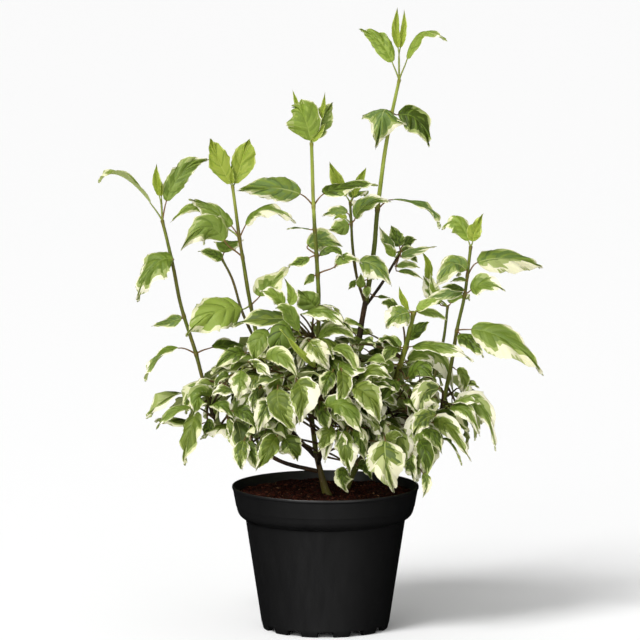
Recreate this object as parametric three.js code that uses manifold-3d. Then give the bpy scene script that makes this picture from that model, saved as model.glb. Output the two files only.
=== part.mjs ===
// Variegated red-twig dogwood, a young shrub in a round nursery pot.
// Millimetres, +Z up. The origin is the middle of the ring of feet that the pot stands on.
// The front of the plant faces -Y.

import * as THREE from "three";
import { mergeVertices } from "three/addons/utils/BufferGeometryUtils.js";
import Module from "manifold-3d";

const wasm = await Module();
wasm.setup();

// Clear space between pieces that touch
const GAP = 0.35;

// Pot: a thin moulded shell with a deep rim band, a tapered wall and a ring of feet
const POT = {
  height: 146, rimRadius: 95, lip: 2, bandRadius: 89.1, bandFoot: 119.2, bandFlare: 1.9, stepHeight: 126,
  neckRadius: 81.3, neckHeight: 112.1, footRadius: 65.1, footEdge: 1.6, wall: 1.8,
  footHeight: 6, footWidth: 6.5, floor: 2, feet: 12, segments: 24,
};
// Notches between the feet: their width at the foot and the share of it that is left at the top
const NOTCH = { angle: 15, height: 5.6, topShare: 0.86, depth: 15.6 };

// Soil fills the pot to a little below the rim, and falls a little towards the wall
const SOIL_TOP = 138;
const SOIL_FALL = 1.2;

// How the limbs, blades and masses are faceted
const LIMB_SIDES = 5;
const LIMB_ROW = 36;
const LIMB_LEAST_ROWS = 4;
const BLADE_SIDES = 4;
const BLADE_ROWS = 5;
const STALK_ROWS = 2;
const STALK_SHARE = 1 / 3;
const BLADE_THICKNESS = 2.8;
const STALK_RADIUS = 1.1;
const COLLAR = { wall: 1.5, height: 5, seat: 0.8 };
const LUMP_DETAIL = 2;

// A stem's flare dies away over this many of its own lengths, reversed
const FLARE_FADE = 6;
// A blade is widest a little below its middle, and full on both sides
const OUTLINE = { skew: 0.78, fullness: 0.85 };
// A mass is a little smaller than its radii, waved, and drawn out narrowly towards each tip
const LUMP = { size: 0.93, wave: 0.08, turns: [3.1, 3.7, 4.3], seed: [0.37, 0.53], tipSpread: 0.09 };
// Corners nearer than this are one corner
const MERGE = 1e-4;
// Halvings of a limb's length when a height on it is looked for
const HALVINGS = 24;

// Directions that a blade's upper face looks in
const UP = [0, 0, 1];
const FRONT = [0, -1, 0];
const FRONT_UP = [0, -0.8, 0.6];
const FRONT_FLAT = [0, -0.4, 0.9];
const LEFT_UP = [-0.4, -0.7, 0.6];
const LEFT_FLAT = [-0.3, -0.2, 1];
const RIGHT_UP = [0.3, -0.8, 0.5];
const RIGHT_REAR = [0.5, 0.8, 0.1];

// Each limb runs from its foot through its bends to its tip, and tapers from the first radius to the second
const LIMBS = {
  trunk: {
    path: [[3, -10, 132], [-2, -10, 150], [-6, -9, 166], [-10, -8, 181]], radii: [3.9, 3.2], flare: 2.6 },
  second_stem: {
    path: [[18, 26, 132], [26, 22, 152], [46, 12, 187], [61, 0, 226]], radii: [3.7, 3.2], flare: 2.2 },
  low_bough: { path: [[-8, -10, 162], [-45, -14, 173], [-75, -16, 192], [-111, -15, 216], [-118, -14, 232]],
    radii: [2.3, 1.9] },
  left_bough: { path: [[-10, -8, 177], [-34, 0, 201], [-55, 8, 234]], radii: [3, 2.3] },
  front_bough: { path: [[-7, -11, 170], [-4, -26, 184], [2, -50, 214], [4, -60, 236]], radii: [2.4, 1.8] },
  rear_bough: { path: [[31, 22, 163], [30, 40, 186], [22, 62, 212], [19, 74, 238]], radii: [2.6, 2] },
  right_bough: { path: [[50, 10, 194], [86, 10, 202], [111, 5, 213], [119, 0, 227]], radii: [2.6, 2.2] },
  back_bough: { path: [[46, 13, 186], [42, 26, 212], [33, 37, 272], [41, 42, 329]], radii: [3.6, 3] },
  shoot_outer_left: {
    path: [[-118, -14, 231], [-131, -14, 283], [-146, -13, 332], [-156, -12, 382], [-165, -10, 419]],
    radii: [2.3, 1.8] },
  shoot_left: {
    path: [[-54, 8, 231], [-70, 10, 299], [-77, 9, 336], [-87, 8, 398], [-94, 6, 452]], radii: [2.5, 1.7] },
  shoot_left_rear: {
    path: [[-68, 11, 286], [-85, 30, 321], [-95, 42, 352], [-106, 48, 373]], radii: [1.7, 1.4] },
  shoot_centre: { path: [[-9, -8, 176], [-14, -14, 228], [-9, -20, 265], [-7, -26, 340], [-12, -32, 436],
    [-14, -34, 501]], radii: [2.9, 1.9] },
  shoot_tall: {
    path: [[41, 42, 327], [49, 46, 376], [53, 48, 422], [63, 48, 497], [75, 44, 556]], radii: [3, 1.8] },
  shoot_rear: { path: [[41, 42, 325], [32, 34, 355], [28, 26, 384], [25, 20, 434]], radii: [1.8, 1.5] },
  shoot_outer_right: {
    path: [[119, 0, 225], [128, -5, 274], [134, -8, 311], [141, -8, 343], [147, -6, 392]],
    radii: [2.4, 1.7] },
  shoot_right: { path: [[60, 0, 224], [73, -20, 265], [81, -30, 292], [89, -42, 330]], radii: [3.2, 2.6] },
  shoot_right_rear: { path: [[74, 11, 200], [92, 26, 213], [106, 40, 236], [115, 50, 264], [121, 58, 289],
    [125, 64, 321]], radii: [2.1, 1.5] },
  twig_centre: { path: [[-7, -25, 293], [-23, -40, 311], [-37, -50, 337]], radii: [1.5, 1.2] },
  twig_tall: { path: [[41, 43, 324], [60, 50, 350], [77, 56, 379]], radii: [1.7, 1.3] },
};

// Leaves in pairs and tufts on the shoots. height is where the pair leaves its limb, and each blade is
// given from there: where its stalk ends, the point it bends over, its tip, its width and its upper face.
const TIERS = {
  leaves_outer_left_1: { limb: "shoot_outer_left", height: 418, blades: [
    { stalk: [-3, 0, 26], bend: [-6, 0, 42], tip: [-5, 0, 59], width: 9, face: FRONT },
    { stalk: [-12, -4, 19], bend: [-42, -16, 49], tip: [-66, -24, 44], width: 22, face: LEFT_FLAT },
    { stalk: [4, 2, 20], bend: [20, 10, 48], tip: [47, 20, 63], width: 24, face: RIGHT_UP }] },
  leaves_outer_left_2: { limb: "shoot_outer_left", height: 380, blades: [
    { stalk: [-4, -5, -2], bend: [-21, -14, -9], tip: [-40, -20, -40], width: 32, face: LEFT_UP }] },
  leaves_outer_left_3: { limb: "shoot_outer_left", height: 322, blades: [
    { stalk: [-4, 2, 0], bend: [-16, 7, -5], tip: [-34, 14, -12], width: 16, face: FRONT_FLAT }] },
  leaves_outer_left_4: { limb: "shoot_outer_left", height: 283, blades: [
    { stalk: [-17, -6, 7], bend: [-36, -16, 3], tip: [-56, -24, -20], width: 22, face: LEFT_UP },
    { stalk: [16, 4, 6], bend: [40, 14, 4], tip: [55, 20, -17], width: 22, face: FRONT_FLAT }] },
  leaves_left_1: { limb: "shoot_left", height: 451, blades: [
    { stalk: [-2, -1, 4], bend: [-16, -4, 25], tip: [-25, -6, 48], width: 20, face: FRONT },
    { stalk: [2, 1, 4], bend: [8, 3, 24], tip: [15, 4, 48], width: 19, face: FRONT }] },
  leaves_left_2: { limb: "shoot_left", height: 398, blades: [
    { stalk: [-7, 3, 12], bend: [-25, 10, 32], tip: [-53, 22, 41], width: 26, face: FRONT_UP },
    { stalk: [7, -4, 14], bend: [28, -14, 34], tip: [58, -26, 20], width: 26, face: FRONT_FLAT }] },
  leaves_left_3: { limb: "shoot_left", height: 379, blades: [
    { stalk: [-17, -8, 10], bend: [-38, -18, 24], tip: [-70, -26, 33], width: 30, face: FRONT }] },
  leaves_left_4: { limb: "shoot_left", height: 329, blades: [
    { stalk: [-9, -10, -2], bend: [-36, -28, 0], tip: [-68, -38, -23], width: 38, face: FRONT_UP },
    { stalk: [9, 3, 9], bend: [20, 12, 20], tip: [40, 22, 38], width: 26, face: LEFT_UP }] },
  leaves_left_rear: { limb: "shoot_left_rear", height: 372, blades: [
    { stalk: [-5, 2, 2], bend: [-21, 4, 7], tip: [-43, -2, 3], width: 20, face: FRONT_FLAT },
    { stalk: [2, 6, 5], bend: [8, 26, 14], tip: [12, 52, 4], width: 28, face: UP }] },
  leaves_centre_1: { limb: "shoot_centre", height: 500, blades: [
    { stalk: [-1, -2, 3], bend: [-6, -8, 23], tip: [-18, -6, 54], width: 34, face: FRONT },
    { stalk: [1, 2, 4], bend: [13, 6, 28], tip: [13, 8, 51], width: 24, face: RIGHT_REAR }] },
  leaves_centre_2: { limb: "shoot_centre", height: 436, blades: [
    { stalk: [-12, -4, 13], bend: [-43, -18, 25], tip: [-77, -28, 17], width: 30, face: FRONT_UP },
    { stalk: [10, 5, 12], bend: [31, 14, 19], tip: [65, 26, 22], width: 22, face: FRONT_FLAT }] },
  leaves_centre_3: { limb: "shoot_centre", height: 386, blades: [
    { stalk: [4, -8, 5], bend: [6, -28, 20], tip: [27, -44, 12], width: 26, face: FRONT_FLAT },
    { stalk: [-11, -3, -5], bend: [-20, -6, -9], tip: [-36, -10, -14], width: 16, face: FRONT_FLAT }] },
  leaves_tall_1: { limb: "shoot_tall", height: 555, blades: [
    { stalk: [-1, 0, 33], bend: [-3, 0, 53], tip: [-2, 0, 75], width: 9, face: FRONT },
    { stalk: [1, 1, 33], bend: [4, 1, 51], tip: [5, 1, 73], width: 8, face: FRONT },
    { stalk: [-7, 3, 18], bend: [-20, 8, 36], tip: [-40, 16, 47], width: 24, face: FRONT_UP },
    { stalk: [8, -4, 22], bend: [23, -12, 45], tip: [48, -22, 41], width: 18, face: FRONT_FLAT }] },
  leaves_tall_2: { limb: "shoot_tall", height: 521, blades: [
    { stalk: [-2, -7, 3], bend: [-9, -22, -8], tip: [-13, -30, -32], width: 36, face: FRONT_UP },
    { stalk: [6, 4, -2], bend: [22, 14, -10], tip: [34, 20, -38], width: 32, face: RIGHT_UP }] },
  leaves_tall_3: { limb: "shoot_tall", height: 422, blades: [
    { stalk: [15, -4, 11], bend: [48, -14, 4], tip: [66, -20, -16], width: 22, face: UP },
    { stalk: [-5, 6, 3], bend: [-16, 20, 6], tip: [-24, 40, 0], width: 24, face: UP }] },
  leaves_tall_side: { limb: "twig_tall", height: 378, blades: [
    { stalk: [-3, -2, 5], bend: [-8, -6, 15], tip: [-19, -8, 26], width: 24, face: FRONT },
    { stalk: [3, 2, 4], bend: [7, 8, 15], tip: [14, 20, 20], width: 26, face: FRONT_UP },
    { stalk: [4, -2, 0], bend: [17, -8, 3], tip: [37, -14, 8], width: 18, face: FRONT_FLAT }] },
  leaves_rear_1: { limb: "shoot_rear", height: 433, blades: [
    { stalk: [-4, -2, 7], bend: [-13, -4, 24], tip: [-21, -4, 43], width: 12, face: FRONT },
    { stalk: [3, -2, 7], bend: [9, -4, 22], tip: [16, -4, 37], width: 12, face: FRONT },
    { stalk: [3, 5, 4], bend: [9, 18, 9], tip: [17, 32, 0], width: 16, face: UP }] },
  leaves_rear_2: { limb: "shoot_rear", height: 411, blades: [
    { stalk: [-3, 2, 5], bend: [-13, 7, 6], tip: [-28, 14, -6], width: 20, face: FRONT_UP },
    { stalk: [4, -3, 6], bend: [15, -12, 21], tip: [40, -24, 29], width: 20, face: LEFT_UP }] },
  leaves_rear_3: { limb: "shoot_rear", height: 374, blades: [
    { stalk: [-5, -3, 1], bend: [-12, -9, 1], tip: [-20, -16, -6], width: 16, face: FRONT_FLAT },
    { stalk: [7, -6, -5], bend: [22, -14, -9], tip: [40, -20, -26], width: 26, face: FRONT_UP }] },
  leaves_outer_right_1: { limb: "shoot_outer_right", height: 391, blades: [
    { stalk: [-2, 1, 6], bend: [-12, 4, 23], tip: [-30, 10, 14], width: 16, face: LEFT_UP },
    { stalk: [2, -1, 6], bend: [4, -6, 26], tip: [18, -12, 20], width: 16, face: LEFT_UP }] },
  leaves_outer_right_2: { limb: "shoot_outer_right", height: 362, blades: [
    { stalk: [10, 4, 14], bend: [41, 14, 17], tip: [78, 26, 5], width: 24, face: FRONT_UP },
    { stalk: [-5, -4, 6], bend: [-21, -16, 9], tip: [-30, -24, -16], width: 28, face: LEFT_UP }] },
  leaves_outer_right_3: { limb: "shoot_outer_right", height: 342, blades: [
    { stalk: [6, -5, 7], bend: [19, -14, 14], tip: [42, -24, 12], width: 18, face: FRONT_FLAT },
    { stalk: [-6, 4, -1], bend: [-24, 12, -4], tip: [-51, 20, -13], width: 18, face: FRONT_FLAT }] },
  leaves_outer_right_4: { limb: "shoot_outer_right", height: 306, blades: [
    { stalk: [14, -6, 3], bend: [49, -20, -5], tip: [91, -30, -38], width: 34, face: RIGHT_UP },
    { stalk: [3, -7, -2], bend: [14, -18, -9], tip: [28, -26, -23], width: 20, face: FRONT_FLAT }] },
  leaves_right_1: { limb: "shoot_right", height: 329, blades: [
    { stalk: [-5, 0, 3], bend: [-11, -2, 15], tip: [-15, -3, 28], width: 7, face: FRONT },
    { stalk: [-4, -4, 1], bend: [-17, -14, -1], tip: [-31, -22, -11], width: 24, face: FRONT_UP },
    { stalk: [5, 2, 1], bend: [21, 10, -1], tip: [36, 14, -9], width: 16, face: FRONT_FLAT }] },
  leaves_right_2: { limb: "shoot_right", height: 292, blades: [
    { stalk: [7, -5, 2], bend: [34, -20, 5], tip: [69, -30, -9], width: 22, face: FRONT_FLAT },
    { stalk: [-5, 3, 0], bend: [-16, 8, 6], tip: [-28, 14, 7], width: 18, face: FRONT_UP }] },
  leaves_right_rear: { limb: "shoot_right_rear", height: 320, blades: [
    { stalk: [-3, 0, 4], bend: [-19, 4, 15], tip: [-25, 6, 54], width: 18, face: FRONT },
    { stalk: [3, 3, 3], bend: [12, 14, 10], tip: [22, 30, 4], width: 18, face: UP }] },
  leaves_twig_centre: { limb: "twig_centre", height: 336, blades: [
    { stalk: [0, 0, 3], bend: [2, -1, 14], tip: [-6, -2, 31], width: 11, face: FRONT },
    { stalk: [-5, -2, 3], bend: [-15, -6, 13], tip: [-30, -8, 18], width: 14, face: FRONT_UP }] },
};

// Masses of foliage round the foot of the shoots. tips are the furthest leaf tips, measured from the centre.
const MASSES = {
  mass_outer_left: { centre: [-131, -14, 214], radii: [24, 26, 24],
    tips: [[-39, -6, -8], [-15, -8, -40], [34, -2, 10]] },
  mass_left_front: { centre: [-76, -32, 254], radii: [36, 42, 33], tips: [[-36, -20, 6], [-10, -38, -42]] },
  mass_left_rear: { centre: [-76, 58, 254], radii: [42, 40, 34], tips: [[-58, 24, -6], [-20, 66, -24]] },
  mass_hang_left: { centre: [-72, -28, 190], radii: [21, 20, 19], tips: [[-14, -4, -28], [10, -8, -26]] },
  mass_front_left: { centre: [-30, -76, 249], radii: [38, 38, 40], tips: [[-12, -60, -20], [4, -50, 14]] },
  mass_front_right: { centre: [30, -78, 244], radii: [40, 38, 40],
    tips: [[10, -58, -24], [-14, -24, -54]] },
  mass_top: { centre: [8, 6, 288], radii: [76, 44, 21],
    tips: [[-56, 10, 24], [-88, -10, 14], [20, -10, 30], [60, 6, 26]] },
  mass_rear_left: { centre: [-24, 88, 244], radii: [46, 38, 36], tips: [[-22, 52, -18], [14, 46, 26]] },
  mass_rear_right: { centre: [64, 82, 240], radii: [46, 40, 36], tips: [[38, 46, -12], [4, 56, 10]] },
  mass_right: { centre: [94, -26, 234], radii: [34, 34, 34],
    tips: [[20, -50, -28], [6, -20, 42], [39, -30, 15]] },
  mass_outer_right: { centre: [138, 2, 217], radii: [26, 30, 25],
    tips: [[37, -8, -35], [9, -10, -44], [15, 4, 30]] },
  mass_hang_right: { centre: [72, -58, 180], radii: [22, 17, 24],
    tips: [[-6, -4, -33], [24, 2, -34], [14, 14, 34]] },
};

const FINISHES = {
  pot: { color: 0x1b1b1b, roughness: 0.45, metalness: 0 },
  soil: { color: 0x2a1812, roughness: 0.95, metalness: 0 },
  bark: { color: 0x3a3020, roughness: 0.8, metalness: 0 },
  green_stem: { color: 0x6e7a32, roughness: 0.6, metalness: 0 },
  foliage: { color: 0x7f9a55, roughness: 0.6, metalness: 0 },
  young_foliage: { color: 0x9cb544, roughness: 0.55, metalness: 0 },
};
const OLD_WOOD = ["trunk", "second_stem", "low_bough", "left_bough", "front_bough", "rear_bough",
  "right_bough", "back_bough", "twig_tall"];
const YOUNG_TIERS = ["leaves_left_1", "leaves_centre_1", "leaves_tall_1", "leaves_outer_right_1"];

const vector = (numbers) => new THREE.Vector3(...numbers);

// A closed mesh becomes a solid that can be joined and cut
function solidOf(geometry) {
  geometry.deleteAttribute("normal");
  geometry.deleteAttribute("uv");
  const merged = mergeVertices(geometry, MERGE);
  return new wasm.Manifold(new wasm.Mesh({
    numProp: 3,
    vertProperties: new Float32Array(merged.attributes.position.array),
    triVerts: new Uint32Array(merged.index.array),
  }));
}

function geometryOf(solid) {
  const mesh = solid.getMesh();
  const geometry = new THREE.BufferGeometry();
  geometry.setAttribute("position", new THREE.BufferAttribute(mesh.vertProperties, mesh.numProp));
  geometry.setIndex(new THREE.BufferAttribute(mesh.triVerts, 1));
  geometry.computeVertexNormals();
  return geometry;
}

// The largest separate piece of a solid that a cut may have divided
function largestPiece(solid) {
  return solid.decompose().reduce((best, piece) => (piece.volume() > best.volume() ? piece : best));
}

// Moves every vertex of a geometry to the place that a function gives for it
function reshape(geometry, place) {
  const position = geometry.attributes.position;
  const vertex = new THREE.Vector3();
  for (let index = 0; index < position.count; index += 1) {
    vertex.fromBufferAttribute(position, index);
    position.setXYZ(index, ...place(vertex).toArray());
  }
  return geometry;
}

// Directions along and across a curve: side x along = outward
function frameAt(curve, share, face) {
  const along = curve.getTangent(share).normalize();
  const side = along.clone().cross(face).normalize();
  const outward = side.clone().cross(along);
  return { point: curve.getPoint(share), along, side, outward };
}

// A profile of radius and height turned about the Z axis
function turned(profile, segments) {
  const points = profile.map(([radius, height]) => new THREE.Vector2(radius, height));
  return new THREE.LatheGeometry(points, segments).rotateX(Math.PI / 2);
}

// The inner face of the pot's wall, from its floor to its rim
function innerWall(inset) {
  const p = POT;
  return [
    [p.footRadius - p.wall - inset, p.footHeight + p.floor],
    [p.neckRadius - p.wall - inset, p.neckHeight],
    [p.bandRadius - p.wall - inset, p.bandFoot + 1],
    [p.rimRadius - p.wall - inset, p.height],
  ];
}

function potSolid() {
  const p = POT;
  const shell = solidOf(turned([
    [0, p.footHeight], [p.footRadius - p.footWidth, p.footHeight], [p.footRadius - p.footWidth, 0],
    [p.footRadius - p.footEdge, 0], [p.footRadius, p.footHeight],
    [p.neckRadius, p.neckHeight], [p.bandRadius, p.bandFoot], [p.bandRadius + p.bandFlare, p.stepHeight],
    [p.rimRadius, p.height - p.lip], [p.rimRadius, p.height],
    ...innerWall(0).reverse(),
    [0, p.footHeight + p.floor],
  ], p.segments));
  return cutNotches(shell);
}

// The notches between the feet are blocks with sloping sides, cut out of the foot ring
function cutNotches(shell) {
  const middle = POT.footRadius - POT.footWidth / 2;
  const width = 2 * middle * Math.sin(THREE.MathUtils.degToRad(NOTCH.angle / 2));
  let solid = shell;
  for (let index = 0; index < POT.feet; index += 1) {
    const block = new THREE.BoxGeometry(width, NOTCH.depth, NOTCH.height * 2);
    reshape(block, (v) => new THREE.Vector3(v.x * (v.z > 0 ? NOTCH.topShare : 1), v.y, v.z));
    block.translate(0, -middle, 0).rotateZ((index * 2 * Math.PI) / POT.feet);
    solid = solid.subtract(solidOf(block));
  }
  return solid;
}

// Soil follows the inside of the wall, and its top is level with a slight fall at the edge
function soilSolid(grow) {
  const [foot, neck, band, rim] = innerWall(GAP - grow);
  const base = foot[1] + GAP - grow;
  const edge = SOIL_TOP - SOIL_FALL;
  const share = (edge - band[1]) / (rim[1] - band[1]);
  return solidOf(turned([
    [0, base], [foot[0], base], neck, band,
    [THREE.MathUtils.lerp(band[0], rim[0], share), edge + grow],
    [neck[0], SOIL_TOP + grow],
    [0, SOIL_TOP + grow],
  ], POT.segments));
}

function limbCurve(name) {
  return new THREE.CatmullRomCurve3(LIMBS[name].path.map(vector), false, "centripetal");
}

// A limb's radius falls evenly from foot to tip, with a flare over the foot of a stem that stands in soil
function limbRadius(name, share) {
  const { radii, flare = 0 } = LIMBS[name];
  return THREE.MathUtils.lerp(radii[0], radii[1], share) + flare * Math.exp(-share * FLARE_FADE);
}

// A limb is a closed cylinder bent along its curve
function limbSolid(name, grow) {
  const curve = limbCurve(name);
  const rows = Math.max(LIMB_LEAST_ROWS, Math.round(curve.getLength() / LIMB_ROW));
  const face = vector(FRONT);
  const geometry = new THREE.CylinderGeometry(1, 1, 1, LIMB_SIDES, rows);
  return solidOf(reshape(geometry, (v) => {
    const share = v.y + 0.5;
    const { point, along, side, outward } = frameAt(curve, share, face);
    const radius = limbRadius(name, share) + grow;
    const end = share === 0 || share === 1 ? grow * Math.sign(v.y) : 0;
    return point.addScaledVector(side, v.x * radius).addScaledVector(outward, v.z * radius)
      .addScaledVector(along, end);
  }));
}

// The place on a limb at a given height
function shareAtHeight(curve, height) {
  let low = 0;
  let high = 1;
  for (let step = 0; step < HALVINGS; step += 1) {
    const middle = (low + high) / 2;
    if (curve.getPoint(middle).z < height) low = middle;
    else high = middle;
  }
  return (low + high) / 2;
}

// Half width of a leaf blade at a share of its own length: round at the base, drawn out at the tip
function bladeOutline(share) {
  return Math.max(0, Math.sin(Math.PI * share ** OUTLINE.skew)) ** OUTLINE.fullness;
}

// A blade is a sphere drawn out along its stalk and midrib, wide across and thin through
function bladeSolid(node, seat, blade, grow) {
  const offsets = [blade.stalk, blade.bend, blade.tip].map(vector);
  const points = [seat, ...offsets.map((offset) => offset.add(node))];
  const curve = new THREE.CatmullRomCurve3(points, false, "centripetal");
  const face = vector(blade.face).normalize();
  const geometry = new THREE.SphereGeometry(1, BLADE_SIDES, BLADE_ROWS);
  return solidOf(reshape(geometry, (v) => {
    const row = Math.round((Math.acos(THREE.MathUtils.clamp(v.y, -1, 1)) / Math.PI) * BLADE_ROWS);
    const ring = Math.hypot(v.x, v.z) || 1;
    const own = Math.max(0, (row - STALK_ROWS) / (BLADE_ROWS - STALK_ROWS));
    const share = THREE.MathUtils.lerp(Math.min(row / STALK_ROWS, 1) * STALK_SHARE, 1, own);
    const closed = row === 0 || row === BLADE_ROWS;
    const half = closed ? 0 : Math.max(STALK_RADIUS, (blade.width / 2) * bladeOutline(own)) + grow;
    const thick = closed ? 0 : Math.max(STALK_RADIUS, own > 0 ? BLADE_THICKNESS / 2 : 0) + grow;
    const { point, along, side, outward } = frameAt(curve, share, face);
    const end = closed ? grow * (row === 0 ? -1 : 1) : 0;
    return point.addScaledVector(side, (-v.x / ring) * half).addScaledVector(outward, (v.z / ring) * thick)
      .addScaledVector(along, end);
  }));
}

// A pair or tuft of blades is joined by a collar round its limb, and each stalk starts in the collar's wall
function tierSolid(name, grow) {
  const { limb, height, blades } = TIERS[name];
  const curve = limbCurve(limb);
  const share = shareAtHeight(curve, height);
  const { point, along } = frameAt(curve, share, vector(FRONT));
  const radius = limbRadius(limb, share);
  const outer = radius + COLLAR.wall + grow;
  const collar = new THREE.CylinderGeometry(outer, outer, COLLAR.height + 2 * grow, LIMB_SIDES);
  collar.applyQuaternion(new THREE.Quaternion().setFromUnitVectors(new THREE.Vector3(0, 1, 0), along));
  collar.translate(point.x, point.y, point.z);
  let solid = solidOf(collar);
  for (const blade of blades) {
    const outward = vector(blade.stalk).projectOnPlane(along).clampLength(0, radius + COLLAR.seat);
    solid = solid.add(bladeSolid(point, outward.add(point), blade, grow));
  }
  return solid;
}

// A mass is a faceted ball, uneven by a few waves and drawn out to its furthest leaf tips
function lumpSolid(name, grow) {
  const { centre, radii, tips } = MASSES[name];
  const seed = centre[0] * LUMP.seed[0] + centre[1] * LUMP.seed[1];
  const reach = tips.map((tip) => vector(tip).divide(vector(radii)));
  const geometry = new THREE.IcosahedronGeometry(1, LUMP_DETAIL);
  return solidOf(reshape(geometry, (v) => {
    const waves = LUMP.turns.map((turn, axis) => Math.sin(turn * v.getComponent(axis) + seed * (axis + 1)));
    let size = LUMP.size + LUMP.wave * (waves[0] + waves[1] + waves[2]);
    for (const tip of reach) {
      const near = v.dot(tip) / tip.length();
      size += (tip.length() - 1) * Math.exp(-(1 - near) / LUMP.tipSpread);
    }
    const surface = v.clone().multiply(vector(radii)).multiplyScalar(size);
    return surface.addScaledVector(surface.clone().normalize(), grow).add(vector(centre));
  }));
}

// Every piece is cut back from the ones placed before it, so that a clear gap is left all round
const placed = [];
const group = new THREE.Group();

function boxesMeet(first, second) {
  const meetAlong = (axis) => first.min[axis] <= second.max[axis] && second.min[axis] <= first.max[axis];
  return [0, 1, 2].every(meetAlong);
}

function place(name, build, finish) {
  let solid = build(0);
  for (const other of placed) {
    if (boxesMeet(solid.boundingBox(), other.box)) solid = solid.subtract(other.cutter);
  }
  const cutter = build(GAP);
  placed.push({ cutter, box: cutter.boundingBox() });
  const material = new THREE.MeshStandardMaterial(FINISHES[finish]);
  const mesh = new THREE.Mesh(geometryOf(largestPiece(solid)), material);
  mesh.name = name;
  group.add(mesh);
}

place("pot", () => potSolid(), "pot");
placed.length = 0;
place("soil", soilSolid, "soil");
for (const name of Object.keys(LIMBS)) {
  place(name, (grow) => limbSolid(name, grow), OLD_WOOD.includes(name) ? "bark" : "green_stem");
}
for (const name of Object.keys(TIERS)) {
  place(name, (grow) => tierSolid(name, grow), YOUNG_TIERS.includes(name) ? "young_foliage" : "foliage");
}
for (const name of Object.keys(MASSES)) {
  place(name, (grow) => lumpSolid(name, grow), "foliage");
}

export default group;
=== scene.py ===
"""Variegated red-twig dogwood in a black nursery pot: the looks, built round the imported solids.

Sizes are in millimetres, and are turned into metres when a mesh is made. +Z is up and the front faces -Y.
"""
import logging
from dataclasses import dataclass, field
from enum import Enum, IntEnum

import bpy
import numpy as np
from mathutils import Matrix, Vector


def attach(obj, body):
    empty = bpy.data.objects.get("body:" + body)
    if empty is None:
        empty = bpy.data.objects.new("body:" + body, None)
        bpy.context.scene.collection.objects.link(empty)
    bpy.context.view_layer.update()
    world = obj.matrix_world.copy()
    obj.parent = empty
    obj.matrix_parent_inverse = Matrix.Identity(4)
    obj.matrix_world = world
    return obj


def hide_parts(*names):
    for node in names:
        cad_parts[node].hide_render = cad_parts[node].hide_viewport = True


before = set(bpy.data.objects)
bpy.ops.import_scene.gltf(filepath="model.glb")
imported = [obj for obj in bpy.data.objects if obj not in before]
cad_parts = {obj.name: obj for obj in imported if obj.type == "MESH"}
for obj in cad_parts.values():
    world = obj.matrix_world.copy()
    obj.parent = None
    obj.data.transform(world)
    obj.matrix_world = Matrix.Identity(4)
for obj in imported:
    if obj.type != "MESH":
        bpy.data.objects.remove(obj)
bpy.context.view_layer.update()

LOG = logging.getLogger("dogwood")
MM = 0.001
TINY = 1e-9
TURN = 2 * np.pi
UP = np.array([0.0, 0.0, 1.0])

Array = np.ndarray
Random = np.random.Generator
Piece = bpy.types.Object
Socket = bpy.types.NodeSocket
Point = tuple[float, float, float]
Colour = tuple[int, int, int]
Stops = tuple[tuple[float, Colour], ...]

# Directions that a blade's upper face looks in
SKY = (0, 0, 1)
FRONT = (0, -1, 0)
FRONT_UP = (0, -0.8, 0.6)
FRONT_FLAT = (0, -0.4, 0.9)
LEFT_UP = (-0.4, -0.7, 0.6)
LEFT_FLAT = (-0.3, -0.2, 1)
RIGHT_UP = (0.3, -0.8, 0.5)


class Wood(Enum):
    """How old a limb's bark is: the age at its foot and at its tip, from 0, green, to 1, dark brown."""

    OLD = (1.0, 0.8)
    STEM = (0.34, 0.76)
    SHOOT = (0.1, 0.0)
    THICK = (0.24, 0.12)
    THIN = (0.66, 0.3)


class Zone(IntEnum):
    """The parts of a leaf that are coloured apart; the rows beside the veins carry painted shade and the
    crest rows a painted highlight. A tone names the finishes of all but the last.
    """

    GREEN = 0
    GREY = 1
    MARGIN = 2
    UNDERSIDE = 3
    MIDRIB = 4
    # Darker faces on the rows beside each vein: painted shade in the veins' grooves
    VEIN = 5
    # Lighter faces on the crest of each panel between veins: painted highlight on the puckered blade
    STREAK = 6
    SECOND_GREEN = 7


class Tone(Enum):
    """The finishes of one kind of leaf. Commas part the zones, and spaces the choices that a zone has."""

    YOUNG = "young", "a b c, a b, edge, under, rib, vein, c"
    FRESH = "fresh", "a b c, grey_b c, cream_a cream_c, under_a, c, vein, c"
    MATURE = "mature", "a b c, grey_a grey_b, cream_a cream_b cream_c, under_a under_b, c, vein, c"
    DEEP = "deep", "a b mature_b, mature_c grey_a, cream_b cream_c, under_b, mature_b, vein, mature_b"
    BLUE = "blue", "a b mature_c, grey_a grey_c, cream_a cream_b, under_a under_b, grey_a, vein, mature_c"
    # The next two tones are darker copies of mature and blue: painted shade for the crown's leaves
    RIPE = "ripe", "a b c, grey_a grey_b, cream_a cream_b cream_c, under_a under_b, c, vein, c"
    DUSK = "dusk", "a b ripe_c, grey_a grey_c, cream_a cream_b, under_a under_b, grey_b, vein, ripe_c"

    def finishes(self) -> list[list[str]]:
        """Splits the text. A name with no kind in it is of the tone's own kind.

        Returns:
            The names of its finishes, zone by zone.
        """
        kind, zones = self.value
        return [[name if "_" in name else f"{kind}_{name}" for name in zone.split()]
                for zone in zones.split(",")]


YOUNG, FRESH, MATURE, DEEP, BLUE, RIPE, DUSK = Tone

# The crown's leaves take darker tones than leaves of the same kind on the shoots: painted shade, standing in
# for the dimmer light inside the crown
CROWN_SHADE_TONES = {FRESH: MATURE, MATURE: RIPE, BLUE: DUSK}


@dataclass(frozen=True)
class Limb:
    """A tapering limb: its route, its radii at foot and tip, and the flare of a stem that stands in soil."""

    path: tuple[Point, ...]
    radii: tuple[float, float]
    wood: Wood = Wood.OLD
    flare: float = 0.0


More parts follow.
